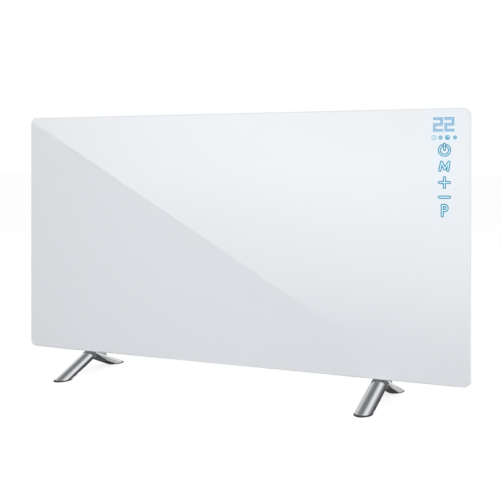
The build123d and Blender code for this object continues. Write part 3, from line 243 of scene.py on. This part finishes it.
def light_spread(m):
    """How much of the lit legends' light spreads to a point of the glass, from 0 to 1."""
    x, _, z = m.axes()
    total = None
    for place, width, height, level in GLOWS:
        across = m.math("DIVIDE", m.math("SUBTRACT", x, DISPLAY_X), width)
        up = m.math("DIVIDE", m.math("SUBTRACT", z, place), height)
        reach = m.math("ADD", m.math("POWER", across, 4.0), m.math("POWER", up, 4.0))
        soft = m.math("MULTIPLY", m.math("DIVIDE", 1.0, m.math("ADD", 1.0, reach)), level)
        total = soft if total is None else m.math("ADD", total, soft)
    return total


LIT_UNEVEN = 0.04            # how far a legend's light varies


def lit(name, colour):
    """A lit legend: light through a window in the paint, a little uneven."""
    m = Material(name, (0.02, 0.02, 0.02, 1.0), Roughness=0.05, Emission_Strength=1.0)
    m.shader.inputs["Specular IOR Level"].default_value = 0.15
    uneven = m.noise(500.0, 2.0)
    dark, bright = tint(colour, 1 - LIT_UNEVEN), tint(colour, 1 + LIT_UNEVEN)
    shades = m.ramp(uneven, (0.3, dark), (0.7, bright))
    m.link(shades, m.shader.inputs["Emission Color"])
    return m.mat


def brushed(name, base, rough, along_legs=False, spread=0.16):
    """Brushed metal: fine streaks that run along the piece, with uneven gloss."""
    m = Material(name, base, Metallic=1.0)
    if along_legs:
        x, y, z = m.axes()
        run = m.math("ABSOLUTE", y)
        square = m.math("ADD", z, m.math("MULTIPLY", run, math.tan(LEG_ANGLE)))
        joined = m.add("ShaderNodeCombineXYZ")
        for value, socket in zip((x, run, square), joined.inputs):
            m.link(value, socket)
        streaks = m.scaled(1.0, 0.02, 1.0, joined.outputs[0])
    else:
        streaks = m.scaled(0.03, 1.0, 1.0)
    lines = m.noise(2600.0, 3.0, 0.6, streaks)
    m.colour(m.ramp(lines, (0.25, tint(base, 1 - spread)), (0.75, tint(base, 1 + spread))))
    m.rough(m.noise(1400.0, 2.0, 0.5, streaks), *rough)
    m.bump(lines, 0.25, 0.00002)
    return m.mat


def zinc(name):
    """Zinc-plated steel with its cloudy patches."""
    base = srgb(196, 200, 203)
    m = Material(name, base, Metallic=1.0)
    clouds = m.noise(70.0, 5.0, 0.6)
    m.colour(m.ramp(clouds, (0.3, srgb(178, 182, 186)), (0.7, srgb(212, 214, 214))))
    m.rough(m.voronoi(400.0), 0.28, 0.45)
    m.bump(m.noise(900.0, 2.0), 0.2, 0.00002)
    return m.mat


MATERIALS = {
    "white_glass": white_glass(),
    "polymer_bead": grained("bonding_polymer", srgb(205, 206, 204), (0.35, 0.5), 300.0),
    "white_powder_coat": grained(
        "powder_coat", srgb(226, 228, 229), (0.34, 0.46), 1500.0, 0.00005, 0.015
    ),
    "film": grained("heating_film", srgb(42, 42, 46), (0.3, 0.45)),
    "copper": brushed("copper_foil", srgb(205, 134, 96), (0.25, 0.4)),
    "mineral_board": grained(
        "mineral_wool_board", srgb(206, 198, 166), (0.8, 0.95), 700.0, 0.0003, 0.12
    ),
    "foil": brushed("aluminium_foil", srgb(214, 216, 218), (0.12, 0.3)),
    "zinc_steel": zinc("zinc_plated_steel"),
    "black_plastic": grained("black_nylon", srgb(38, 39, 41), (0.38, 0.5), 1100.0),
    "white_plastic": grained(
        "white_nylon", srgb(222, 223, 222), (0.35, 0.48), 1100.0, 0.00004, 0.02
    ),
    "board_green": grained("circuit_board", srgb(38, 96, 58), (0.25, 0.4), 500.0, 0.00003, 0.15),
    "digit_grey": grained("digit_module", srgb(196, 203, 207), (0.15, 0.25)),
    "opal": grained("opal_diffuser", srgb(226, 234, 238), (0.3, 0.4), 900.0, 0.00002, 0.02),
    "foam": grained("conductive_foam", srgb(56, 56, 58), (0.85, 0.95), 1600.0, 0.0002, 0.2),
    "ribbon_grey": grained("ribbon_cable", srgb(190, 190, 186), (0.3, 0.4)),
    "blue_plastic": grained("relay_case", srgb(46, 84, 150), (0.25, 0.35)),
    "box_plastic": grained("box_plastic", srgb(220, 222, 222), (0.42, 0.54), 1300.0, 0.00006, 0.02),
    "rocker_black": grained("rocker_plastic", srgb(24, 24, 26), (0.14, 0.22), 700.0, 0.00001),
    "steel_pin": brushed("pin_steel", srgb(190, 192, 194), (0.2, 0.35)),
    "brass_weight": brushed("turned_brass", srgb(198, 168, 100), (0.2, 0.35)),
    "silicone": grained("silicone_lead", srgb(168, 60, 52), (0.4, 0.55), 600.0),
    "black_rubber": grained("black_rubber", srgb(30, 30, 31), (0.6, 0.8), 1200.0, 0.00008, 0.12),
    "brushed_metal": brushed("brushed_foot_metal", srgb(206, 208, 211), (0.09, 0.17), True, 0.10),
}

slots = {row["node"]: row["material_slot"] for row in frame["record"]["subparts"]}
for node, obj in frame["nodes"].items():
    obj.data.materials.clear()
    obj.data.materials.append(MATERIALS[slots[node]])


# ---- Flat legends, built as clean outlines
def disc(x, z, radius, count=40):
    step = 2 * math.pi / count
    angles = [i * step for i in range(count)]
    return [(x + radius * math.cos(angle), z + radius * math.sin(angle)) for angle in angles]


def capsule(a, b, radius, count=10):
    """A stroke with round ends from a to b."""
    run = math.atan2(b[1] - a[1], b[0] - a[0])
    points = []
    for end, start in ((b, run - math.pi / 2), (a, run + math.pi / 2)):
        for i in range(count + 1):
            angle = start + math.pi * i / count
            points.append((end[0] + radius * math.cos(angle), end[1] + radius * math.sin(angle)))
    return points


def strokes(points, radius):
    """One capsule for each stretch of a line through the points."""
    return [capsule(a, b, radius) for a, b in zip(points, points[1:])]


def arc(x, z, radius, start, end, count=24):
    """Points along an arc, its angles in degrees."""
    found = []
    for i in range(count + 1):
        angle = math.radians(start + (end - start) * i / count)
        found.append((x + radius * math.cos(angle), z + radius * math.sin(angle)))
    return found


SAME_POINT = 1e-7            # outlines' points nearer than this are one
STRAIGHT = 0.001             # edges and faces that turn less than this are joined, in radians


def flat_mesh(name, shapes, cuts, front, back):
    """The union of the shapes less the cuts, as a thin solid between two Y planes."""
    verts, faces = [], []
    for shape in shapes + cuts:
        faces.append(list(range(len(verts), len(verts) + len(shape))))
        verts.extend(Vector(p) for p in shape)
    points, _, found, _, _, origins = delaunay_2d_cdt(verts, [], faces, 1, SAME_POINT)
    kept = [
        face for face, owners in zip(found, origins)
        if owners and min(owners) < len(shapes) and max(owners) < len(shapes)
    ]
    bm = bmesh.new()
    made = {}
    for face in kept:
        for i in face:
            if i not in made:
                made[i] = bm.verts.new((points[i].x, front, points[i].y))
        bm.faces.new([made[i] for i in face])
    bmesh.ops.dissolve_limit(bm, angle_limit=STRAIGHT, verts=bm.verts, edges=bm.edges)
    bmesh.ops.triangulate(bm, faces=bm.faces)
    extruded = bmesh.ops.extrude_face_region(bm, geom=bm.faces[:])["geom"]
    moved = [v for v in extruded if isinstance(v, bmesh.types.BMVert)]
    bmesh.ops.translate(bm, verts=moved, vec=(0, back - front, 0))
    bmesh.ops.recalc_face_normals(bm, faces=bm.faces)
    mesh = bpy.data.meshes.new(name)
    bm.to_mesh(mesh)
    bm.free()
    return mesh


def flat_piece(name, shapes, cuts, material, front, back, body=HEATER):
    """A flat mesh as a piece that rides on a body and takes its finish from a slot."""
    mesh = flat_mesh(name, shapes, cuts, front, back)
    piece = add_object(name, mesh)
    mesh.materials.append(material)
    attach(piece, body)
    return piece


LEGEND_BACK = GLASS_FRONT_Y + 0.00002
LEGEND_FRONT = GLASS_FRONT_Y - 0.00005
RIM = 0.0016                 # width of the darker line round a lit shape
RIM_LIGHT = lit("legend_rim_light", srgb(26, 116, 154))
CORE_LIGHT = lit("legend_core_light", srgb(184, 238, 252))


def legend(name, shapes, cuts, light):
    """A lit shape in the face of the glass."""
    flat_piece(name, shapes, cuts, light, LEGEND_FRONT, LEGEND_BACK)


def outlined(name, make, radius):
    """A pale lit shape with a darker lit line round it; make(radius) gives its strokes."""
    wide, narrow = make(radius), make(radius - RIM)
    legend(name + "_rim", wide, narrow, RIM_LIGHT)
    legend(name + "_core", narrow, [], CORE_LIGHT)


MILLIMETRE = 0.001


def at(points, x, z):
    """Points in millimetres round a legend's centre."""
    return [(x + px * MILLIMETRE, z + pz * MILLIMETRE) for px, pz in points]


POWER_RING_RADIUS = 0.0083
POWER_RING_Z = POWER_Z - 0.0004
POWER_RING_ENDS = (122, 418)           # degrees, with the gap at the top
POWER_BAR_TOP_Z = POWER_Z + 0.0094
POWER_BAR_FOOT_Z = POWER_Z + 0.0006


def power_symbol(radius):
    ring = arc(DISPLAY_X, POWER_RING_Z, POWER_RING_RADIUS, *POWER_RING_ENDS)
    bar = [(DISPLAY_X, POWER_BAR_TOP_Z), (DISPLAY_X, POWER_BAR_FOOT_Z)]
    return strokes(ring, radius) + strokes(bar, radius)


def letter_m(radius):
    points = [(-7.6, -6.6), (-4.6, 6.6), (0.3, -4.2), (7.4, 6.6), (5.4, -6.6)]
    return strokes(at(points, DISPLAY_X, MODE_Z), radius)


SIGN_REACH = 0.0080          # middle of the plus or the minus to the centre of a stroke's end


def plus(radius):
    level = [(DISPLAY_X - SIGN_REACH, PLUS_Z), (DISPLAY_X + SIGN_REACH, PLUS_Z)]
    upright = [(DISPLAY_X, PLUS_Z - SIGN_REACH), (DISPLAY_X, PLUS_Z + SIGN_REACH)]
    return strokes(level, radius) + strokes(upright, radius)


def minus(radius):
    return strokes([(DISPLAY_X - SIGN_REACH, MINUS_Z), (DISPLAY_X + SIGN_REACH, MINUS_Z)], radius)


def letter_p(radius):
    stem = at([(-3.6, -8.4), (-3.6, 8.4)], DISPLAY_X, PROGRAM_Z)
    bowl = at([(-3.6, 8.4), (0.2, 8.4)], DISPLAY_X, PROGRAM_Z)
    bowl += arc(DISPLAY_X + 0.0002, PROGRAM_Z + 0.0043, 0.0041, 90, -90, 12)
    bowl += at([(-3.6, 0.2)], DISPLAY_X, PROGRAM_Z)
    return strokes(stem, radius) + strokes(bowl, radius)


outlined("key_power", power_symbol, 0.0025)
outlined("key_mode", letter_m, 0.0026)
outlined("key_plus", plus, 0.0026)
outlined("key_minus", minus, 0.0027)
outlined("key_program", letter_p, 0.0026)

# The temperature: two digits of small round lamps.
DOT_RADIUS = 0.00112
DOT_CORE_RADIUS = 0.00042    # the pale middle of a lamp
DOT_SIDES = 14
DOT_PITCH = 0.00238
STROKE_DOTS = 2              # width of a digit's stroke, in lamps
DIGIT_COLUMNS = 7
DIGIT_ROWS = 10
DIGIT_PITCH = 0.0186
DIGITS_X = DISPLAY_X - 0.0013
TWO_FULL_ROWS = (0, 1, 4, 5, 8, 9)   # rows from the top of a 2 that are lit right across
TWO_RIGHT_ROWS = (2, 3)              # rows lit at the right; the others are lit at the left


def dot_places():
    found = []
    for digit in (-0.5, 0.5):
        for row in range(DIGIT_ROWS):
            for column in range(DIGIT_COLUMNS):
                right = column >= DIGIT_COLUMNS - STROKE_DOTS
                left = column < STROKE_DOTS
                if row in TWO_FULL_ROWS or (right if row in TWO_RIGHT_ROWS else left):
                    x = DIGITS_X + digit * DIGIT_PITCH
                    x += (column - (DIGIT_COLUMNS - 1) / 2) * DOT_PITCH
                    found.append((x, DIGITS_Z + ((DIGIT_ROWS - 1) / 2 - row) * DOT_PITCH))
    return found


def dots(radius):
    return [disc(x, z, radius, DOT_SIDES) for x, z in dot_places()]


DOT_LIGHT = lit("digit_dot_light", srgb(34, 138, 194))
legend("digit_dots_rim", dots(DOT_RADIUS), dots(DOT_CORE_RADIUS), DOT_LIGHT)
legend("digit_dots_core", dots(DOT_CORE_RADIUS), [], CORE_LIGHT)

# Four round indicators: a clock, a disc with three bars, a disc with a round hole, and a
# smaller disc with two bars.
ICON_PITCH = 0.0115
ICON_SHIFTS = (0, 0.0007, 0.0007, 0)   # how far each one stands left of its even place
CLOCK_X, HEAT_X, FULL_X, SMALL_X = [
    DISPLAY_X + (i - 1.5) * ICON_PITCH - shift for i, shift in enumerate(ICON_SHIFTS)
]
BAR_RADIUS = 0.0003
ICON_LIGHT = lit("indicator_light", srgb(70, 160, 190))


def bars(x, count, pitch, half_height):
    """Upright bars across the middle of an indicator."""
    found = []
    for i in range(count):
        bar_x = x + (i - (count - 1) / 2) * pitch
        ends = [(bar_x, ICONS_Z - half_height), (bar_x, ICONS_Z + half_height)]
        found += strokes(ends, BAR_RADIUS)
    return found


def icon(name, shapes, cuts):
    legend("indicator_" + name, shapes, cuts, ICON_LIGHT)


CLOCK_HANDS = [
    (CLOCK_X, ICONS_Z + 0.0022), (CLOCK_X, ICONS_Z), (CLOCK_X + 0.0016, ICONS_Z - 0.0008)
]
icon("clock_ring", [disc(CLOCK_X, ICONS_Z, 0.0040)], [disc(CLOCK_X, ICONS_Z, 0.0031)])
icon("clock_hands", strokes(CLOCK_HANDS, 0.00038), [])
icon("heat", [disc(HEAT_X, ICONS_Z, 0.0034)], bars(HEAT_X, 3, 0.0017, 0.0014))
icon("full", [disc(FULL_X, ICONS_Z, 0.0040)], [disc(FULL_X + 0.0010, ICONS_Z + 0.0010, 0.0011)])
icon("small", [disc(SMALL_X, ICONS_Z, 0.0032)], bars(SMALL_X, 2, 0.0020, 0.0010))

# ---- Screws seen from behind
# The dark colour in the screw recesses is painted shade: near-black pieces stand where shade falls
# inside the recesses.
RECESS_PAINTED_SHADE = grained("screw_recess_painted_shade", srgb(34, 35, 37), (0.5, 0.6), 1400.0, 0.00002)


RECESS_REACH = 0.0016        # middle of a recess to the centre of a stroke's end


def cross(x, z, radius):
    """The outline of a cross recess."""
    level = strokes([(x - RECESS_REACH, z), (x + RECESS_REACH, z)], radius)
    return level + strokes([(x, z - RECESS_REACH), (x, z + RECESS_REACH)], radius)


BRACKET_SCREW_OFFSET = 0.013   # middle of a foot to each of its two screws
BRACKET_RECESS_RADIUS = 0.0004
BRACKET_RECESS_LIFT = 0.00004  # the cross of painted recess shade stands this far out of the screw's head
BRACKET_RECESS_SINK = 0.0002   # and goes this far into it


# Dark crosses on the bracket screws' heads: painted shade in their cross recesses.
def bracket_screw_recesses():
    low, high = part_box("bracket_screws")
    z = (low[2] + high[2]) / 2
    for side, foot_x in zip(("left", "right"), FEET_X):
        for hand, x in (("a", foot_x - BRACKET_SCREW_OFFSET), ("b", foot_x + BRACKET_SCREW_OFFSET)):
            flat_piece(
                f"bracket_screw_recess_{side}_{hand}", cross(x, z, BRACKET_RECESS_RADIUS), [],
                RECESS_PAINTED_SHADE, high[1] + BRACKET_RECESS_LIFT, high[1] - BRACKET_RECESS_SINK,
            )


BOX_SCREW_INSET = 0.0095
BOX_HEAD_RADIUS = 0.0032
BOX_RECESS_RADIUS = 0.0005
BOX_RECESS_SHADE_RADIUS = 0.0026     # the disc of painted shade under the recess
BOX_RECESS_SHADE_HEIGHT = 0.00012
BOX_HEAD_HEIGHT = 0.0007
BOX_HEAD_SINK = 0.0001       # how far a head goes into the box's back


def box_screws():
    """Heads in the corners of the box, each over a dark disc of painted shade that shows in its
    recess.
    """
    low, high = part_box("electrics_box")
    back = high[1]
    places = [
        (x, z)
        for x in (low[0] + BOX_SCREW_INSET, high[0] - BOX_SCREW_INSET)
        for z in (low[2] + BOX_SCREW_INSET, high[2] - BOX_SCREW_INSET)
    ]
    for number, (x, z) in enumerate(places, 1):
        flat_piece(
            f"box_screw_head_{number}", [disc(x, z, BOX_HEAD_RADIUS)],
            cross(x, z, BOX_RECESS_RADIUS),
            MATERIALS["zinc_steel"], back + BOX_HEAD_HEIGHT, back - BOX_HEAD_SINK,
        )
        flat_piece(
            f"box_screw_recess_{number}", [disc(x, z, BOX_RECESS_SHADE_RADIUS)], [], RECESS_PAINTED_SHADE,
            back + BOX_RECESS_SHADE_HEIGHT, back - BOX_HEAD_SINK,
        )


bracket_screw_recesses()
box_screws()

# ---- The marks of the power switch: a bar for on, a ring for off
MARK_WHITE = grained("switch_mark_paint", srgb(226, 226, 222), (0.4, 0.5), 1500.0, 0.00001)


FACES_OUT = 0.85             # least X of the normal of a face that shows at the box's side


def rocker_face(upper):
    """Centre and normal of the rocker's upper or lower face, from its own mesh."""
    mesh = frame["nodes"]["switch_rocker"].data
    low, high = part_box("switch_rocker")
    middle = (low[2] + high[2]) / 2
    faces = [
        face for face in mesh.polygons
        if face.normal.x > FACES_OUT and (face.center.z > middle) == upper
    ]
    area = sum(face.area for face in faces)
    centre = sum((face.center * face.area for face in faces), Vector()) / area
    normal = sum((face.normal * face.area for face in faces), Vector()).normalized()
    return centre, normal


ON_BAR = strokes([(0, -0.0015), (0, 0.0015)], 0.00028)
OFF_DISC = [disc(0, 0, 0.0017)]
OFF_HOLE = [disc(0, 0, 0.0012)]
MARK_LIFT = 0.00003          # a mark stands this far out of the rocker's face
MARK_SINK = 0.0001           # and goes this far into it

for name, upper, shapes, cuts in (
    ("switch_mark_on", True, ON_BAR, []),
    ("switch_mark_off", False, OFF_DISC, OFF_HOLE),
):
    mark = flat_piece(
        name, shapes, cuts, MARK_WHITE, MARK_LIFT, -MARK_SINK, ROCKER
    )
    centre, normal = rocker_face(upper)
    across = Vector((0, -1, 0))
    frame_axes = Matrix((across, normal, across.cross(normal))).transposed()
    mark.data.transform(Matrix.Translation(centre) @ frame_axes.to_4x4())

# ---- Stage: floor, card, flags, lights, camera
CAMERA_PLACE = (0.7833, -1.5837, 0.4017)
CAMERA_TURN = 25.15          # degrees from straight at the panel, towards its left
SENSOR = 36.0
LENS = 70.66
SHIFT_Y = -0.1744


def stage_material(name):
    """An empty node material, with its nodes and links."""
    mat = bpy.data.materials.new(name)
    mat.use_nodes = True
    nodes, links = mat.node_tree.nodes, mat.node_tree.links
    nodes.clear()
    return mat, nodes, links


def seen_rays(nodes, links):
    """1 for rays of the camera and rays mirrored or bent by a surface, 0 for light on surfaces."""
    rays = nodes.new("ShaderNodeLightPath").outputs
    straight = math_node(nodes, links, "MAXIMUM", rays["Is Camera Ray"], rays["Is Glossy Ray"])
    return math_node(nodes, links, "MAXIMUM", straight, rays["Is Transmission Ray"])


def plane(name, corners, mat):
    mesh = bpy.data.meshes.new(name)
    mesh.from_pydata(corners, [], [list(range(len(corners)))])
    mesh.materials.append(mat)
    obj = add_object(name, mesh)
    return obj


FLOOR_REACH = 30.0
FLOOR_LIT = (0.80, 0.80, 0.80, 1.0)    # its colour for light that falls on other surfaces
FLOOR_SEEN = (0.30, 0.30, 0.30, 1.0)   # its colour for seen rays, which the glow brings to white
FLOOR_GLOW = 0.80


def make_floor():
    """A white floor that glows for seen rays, so that it meets the white world."""
    mat, nodes, links = stage_material("floor_white")
    out = nodes.new("ShaderNodeOutputMaterial")
    both = nodes.new("ShaderNodeAddShader")
    diffuse = nodes.new("ShaderNodeBsdfDiffuse")
    glow = nodes.new("ShaderNodeEmission")
    seen = seen_rays(nodes, links)
    shade = nodes.new("ShaderNodeMix")
    shade.data_type = "RGBA"
    shade.inputs[6].default_value = FLOOR_LIT
    shade.inputs[7].default_value = FLOOR_SEEN
    links.new(seen, shade.inputs["Factor"])
    links.new(shade.outputs[2], diffuse.inputs["Color"])
    links.new(math_node(nodes, links, "MULTIPLY", seen, FLOOR_GLOW), glow.inputs["Strength"])
    links.new(diffuse.outputs[0], both.inputs[0])
    links.new(glow.outputs[0], both.inputs[1])
    links.new(both.outputs[0], out.inputs["Surface"])
    far = FLOOR_REACH
    plane("floor", [(-far, -far, 0), (far, -far, 0), (far, far, 0), (-far, far, 0)], mat)


WORLD_LEVEL = 0.61           # strength of the world's light on surfaces; seen rays get 1


def make_world():
    world = bpy.data.worlds.new("studio")
    bpy.context.scene.world = world
    world.use_nodes = True
    nodes, links = world.node_tree.nodes, world.node_tree.links
    background = nodes["Background"]
    background.inputs["Color"].default_value = (1.0, 1.0, 1.0, 1.0)
    seen = seen_rays(nodes, links)
    level = nodes.new("ShaderNodeMapRange")
    level.inputs["To Min"].default_value = WORLD_LEVEL
    level.inputs["To Max"].default_value = 1.0
    links.new(seen, level.inputs["Value"])
    links.new(level.outputs[0], background.inputs["Strength"])


CARD_Y = -0.45               # the card stands this far in front of the feet's middle
CARD_EDGE_LEFT = (-0.98, 0.624)
CARD_EDGE_RIGHT = (0.120, 0.001)
CARD_RIGHT = 2.4
CARD_TOP = 0.80
CARD_FOOT = 0.001
CARD_PEAK = 3.5              # strength at the slanted edge, times the level of the height
CARD_EXTRA = 1.5             # how much is added away from that edge
CARD_RISE = 0.28             # over this distance
# Heights and levels: dim at the floor, and down to the world's level near the top.
CARD_LEVELS = (
    (0.0, 0.36), (0.04, 0.42), (0.13, 0.70), (0.26, 0.84), (0.38, 1.0), (0.50, 0.92), (0.60, 0.85),
    (0.72, 0.20),
)


def card_ramp(nodes, links, height):
    """The card's level at a height."""
    ramp = nodes.new("ShaderNodeValToRGB")
    points = ramp.color_ramp.elements
    while len(points) < len(CARD_LEVELS):
        points.new(0.5)
    for point, (place, value) in zip(points, CARD_LEVELS):
        point.position = place
        point.color = (value, value, value, 1.0)
    links.new(height, ramp.inputs[0])
    return ramp.outputs[0]


def make_card():
    """A lit card whose slanted edge the glass mirrors as the diagonal in the photo."""
    mat, nodes, links = stage_material("card_light")
    out = nodes.new("ShaderNodeOutputMaterial")
    glow = nodes.new("ShaderNodeEmission")
    coords = nodes.new("ShaderNodeTexCoord")
    axes = nodes.new("ShaderNodeSeparateXYZ")
    links.new(coords.outputs["Object"], axes.inputs[0])
    left_x, left_z = CARD_EDGE_LEFT
    right_x, right_z = CARD_EDGE_RIGHT
    away = Vector((left_z - right_z, right_x - left_x)).normalized()

    def step(operation, *values, clamp=False):
        return math_node(nodes, links, operation, *values, clamp=clamp)

    across = step("MULTIPLY", step("SUBTRACT", axes.outputs["X"], left_x), away.x)
    up = step("MULTIPLY", step("SUBTRACT", axes.outputs["Z"], left_z), away.y)
    inside = step("DIVIDE", step("ADD", across, up), CARD_RISE, clamp=True)
    peak = step("ADD", step("MULTIPLY", inside, CARD_EXTRA), CARD_PEAK)
    level = step("MULTIPLY", card_ramp(nodes, links, axes.outputs["Z"]), peak)
    links.new(level, glow.inputs["Strength"])
    links.new(glow.outputs[0], out.inputs["Surface"])
    corners = [
        (left_x, CARD_Y, left_z),
        (right_x, CARD_Y, right_z),
        (CARD_RIGHT, CARD_Y, CARD_FOOT),
        (CARD_RIGHT, CARD_Y, CARD_TOP),
        (left_x, CARD_Y, CARD_TOP),
    ]
    glossy_only(plane("card", corners, mat))


def glossy_only(obj):
    """Seen in mirrored rays alone."""
    obj.visible_camera = False
    obj.visible_diffuse = False
    obj.visible_shadow = False
    obj.visible_transmission = False


def one_sided(name):
    """A glow seen from its front side alone; its strength is the mesh's attribute "level"."""
    mat, nodes, links = stage_material(name)
    out = nodes.new("ShaderNodeOutputMaterial")
    glow = nodes.new("ShaderNodeEmission")
    level = nodes.new("ShaderNodeAttribute")
    level.attribute_name = "level"
    links.new(level.outputs["Fac"], glow.inputs["Strength"])
    clear = nodes.new("ShaderNodeBsdfTransparent")
    either = nodes.new("ShaderNodeMixShader")
    geometry = nodes.new("ShaderNodeNewGeometry")
    links.new(geometry.outputs["Backfacing"], either.inputs[0])
    links.new(glow.outputs[0], either.inputs[1])
    links.new(clear.outputs[0], either.inputs[2])
    links.new(either.outputs[0], out.inputs["Surface"])
    return mat


def flag(name, pairs, levels, facing):
    """A strip of pairs of points, each pair with its own level, seen from one side."""
    count = len(pairs) - 1
    verts = [point for pair in pairs for point in pair]
    mesh = bpy.data.meshes.new(name)
    mesh.from_pydata(verts, [], [[2 * i, 2 * i + 1, 2 * i + 3, 2 * i + 2] for i in range(count)])
    if mesh.polygons[0].normal.dot(Vector(facing)) < 0:
        mesh.flip_normals()
    shade = mesh.attributes.new("level", "FLOAT", "POINT")
    for i, level in enumerate(levels):
        shade.data[2 * i].value = shade.data[2 * i + 1].value = level
    mesh.materials.append(one_sided(name + "_light"))
    piece = add_object(name, mesh)
    glossy_only(piece)


FAN_Y = GLASS_FRONT_Y - 0.0012
FAN_STEP = 2                 # degrees from one line of the fan to the next
FAN_NEAR = 0.0115            # how far in front of the ridge the mirrored leg begins
FAN_FAR = 0.125              # and ends
LEG_MIDDLE = (-0.05, 0.025)  # Y and Z of the point whose line of sight stands for the whole leg
TUBE_CROWN = 0.0247          # radius of the broad side of the foot's oval tube
TUBE_HALF_WIDTH = 0.015
CROWN_END = 0.55             # radians from the top of the tube to the end of its broad side
CROWN_END_DROP = 0.0036


def level_at(stops, place):
    """The level between two stops, on a straight line."""
    for (low, first), (high, last) in zip(stops, stops[1:]):
        if place <= high:
            return first + (last - first) * (place - low) / (high - low)
    return stops[-1][1]


def fan(name, foot_x, stops):
    """A flag by the glass that the tube mirrors as the lengthwise bands of a front leg.

    The stops are angles in degrees round the tube, each with the level seen there.
    """
    middle = Vector((foot_x, *LEG_MIDDLE))
    view = (middle - Vector(CAMERA_PLACE)).normalized()
    low, high = stops[0][0], stops[-1][0]
    count = round((high - low) / FAN_STEP)
    pairs, levels = [], []
    for i in range(count + 1):
        angle = low + (high - low) * i / count
        turn = math.radians(angle)
        normal = Vector((
            math.sin(turn),
            -math.sin(LEG_ANGLE) * math.cos(turn),
            math.cos(LEG_ANGLE) * math.cos(turn),
        ))
        away = view - 2 * view.dot(normal) * normal
        across = max(-TUBE_HALF_WIDTH, min(TUBE_HALF_WIDTH, TUBE_CROWN * math.sin(turn)))
        on_crown = abs(turn) < CROWN_END
        drop = TUBE_CROWN * (1 - math.cos(turn)) if on_crown else CROWN_END_DROP
        pair = []
        for run in (FAN_NEAR, FAN_FAR):
            reach = (FAN_Y + run) / away.y
            z = RIDGE_Z - drop - run * math.tan(LEG_ANGLE) + reach * away.z
            pair.append((foot_x + across + reach * away.x, FAN_Y, z))
        pairs.append(pair)
        levels.append(level_at(stops, angle))
    flag(name, pairs, levels, (0, -1, 0))


LEFT_BANDS = (
    (-35, 1.3), (-20, 1.1), (-12, 0.85), (-3, 0.40), (2, 0.28), (11, 0.28), (16, 0.6),
    (22, 1.15), (27, 1.35), (31, 1.0), (38, 0.55), (48, 0.22), (58, 0.12), (88, 0.08),
)
RIGHT_BANDS = (
    (-50, 0.5), (-40, 0.85), (-17, 0.85), (-10, 0.35), (0, 0.26), (6, 0.35), (12, 1.0),
    (17, 1.3), (22, 1.05), (28, 0.35), (34, 0.18), (88, 0.12),
)
FLOOR_FLAG_Z = 0.0008
FRONT_OF_GLASS_Y = -0.0108   # just in front of the glass
# Patches on the floor by each foot, mirrored in the sides and undersides of the legs.
# Each row has its Y, the X from the foot where it starts and ends, and its level.
FLOOR_PATCHES = (
    ((FRONT_OF_GLASS_Y, -0.10, 0.12, 0.10), (0.048, -0.10, 0.12, 0.10)),
    ((0.048, -0.25, 0.012, 0.06), (0.12, -0.25, 0.012, 0.08), (0.30, -0.25, 0.012, 0.2)),
    ((0.048, 0.012, 0.050, 0.70), (0.30, 0.012, 0.050, 0.85)),
    ((0.048, 0.050, 0.20, 0.12), (0.12, 0.050, 0.20, 0.12)),
    ((0.125, 0.047, 0.09, 0.12), (0.27, 0.10, 0.20, 0.12)),
)
# Upright flags beside each foot, seen from the front only: Y, X from the foot, height.
UPRIGHT_FLAGS = (
    (0.03, 0.026, 0.045),
    (-0.0112, 0.016, 0.034),
    (-0.036, 0.016, 0.016),
    (-0.060, 0.016, 0.010),
)
UPRIGHT_FAR = 0.20           # X from the foot where they end
UPRIGHT_LEVEL = 0.10
# A flag under the glass, across each foot's ridge, seen from below only
UNDER_HALF_WIDTH = 0.06
UNDER_BACK_Y = 0.0142
UNDER_Z = 0.0398
UNDER_LEVEL = 0.22


def make_flags():
    for side, foot_x, stops in zip(("left", "right"), FEET_X, (LEFT_BANDS, RIGHT_BANDS)):
        fan(side + "_flag", foot_x, stops)
        for number, rows in enumerate(FLOOR_PATCHES, 1):
            pairs = [
                [(foot_x + start, y, FLOOR_FLAG_Z), (foot_x + end, y, FLOOR_FLAG_Z)]
                for y, start, end, _ in rows
            ]
            levels = [level for *_, level in rows]
            flag(f"{side}_floor_flag_{number}", pairs, levels, (0, 0, 1))
        for number, (y, near, height) in enumerate(UPRIGHT_FLAGS, 1):
            pairs = [
                [(foot_x + x, y, FLOOR_FLAG_Z), (foot_x + x, y, height)]
                for x in (near, UPRIGHT_FAR)
            ]
            flag(f"{side}_upright_flag_{number}", pairs, (UPRIGHT_LEVEL,) * 2, (0, -1, 0))
        pairs = [
            [(foot_x + x, FRONT_OF_GLASS_Y, UNDER_Z), (foot_x + x, UNDER_BACK_Y, UNDER_Z)]
            for x in (-UNDER_HALF_WIDTH, UNDER_HALF_WIDTH)
        ]
        flag(side + "_under_flag", pairs, (UNDER_LEVEL,) * 2, (0, 0, -1))


# Square lamps that no mirror shows: name, place, what each faces, side and watts
LAMPS = (
    ("key", (0.5, -2.3, 1.8), (0, 0, 0.25), 1.8, 14.0),
    ("middle", (-0.16, -0.90, 0.48), (-0.16, 0.0, 0.38), 0.5, 1.25),
    ("side", (2.4, -0.4, 1.0), (0.4, 0, 0.2), 1.4, 11.0),
    ("fill", (1.8, 1.8, 1.8), (0, 0, 0.2), 1.6, 14.0),
)


def area_light(name, place, target, side, watts):
    data = bpy.data.lights.new(name, "AREA")
    data.shape = "RECTANGLE"
    data.size = side
    data.size_y = side
    data.energy = watts
    light = add_object(name, data)
    light.location = place
    light.rotation_euler = (Vector(target) - Vector(place)).to_track_quat("-Z", "Y").to_euler()
    light.visible_glossy = False


def make_camera():
    data = bpy.data.cameras.new("camera")
    data.sensor_width = SENSOR
    data.lens = LENS
    data.shift_y = SHIFT_Y
    camera = add_object("camera", data)
    camera.location = CAMERA_PLACE
    camera.rotation_euler = (math.radians(90), 0, math.radians(CAMERA_TURN))
    bpy.context.scene.camera = camera


make_floor()
make_world()
make_card()
make_flags()
for lamp in LAMPS:
    area_light(*lamp)
make_camera()
bpy.context.scene.view_settings.view_transform = "Standard"
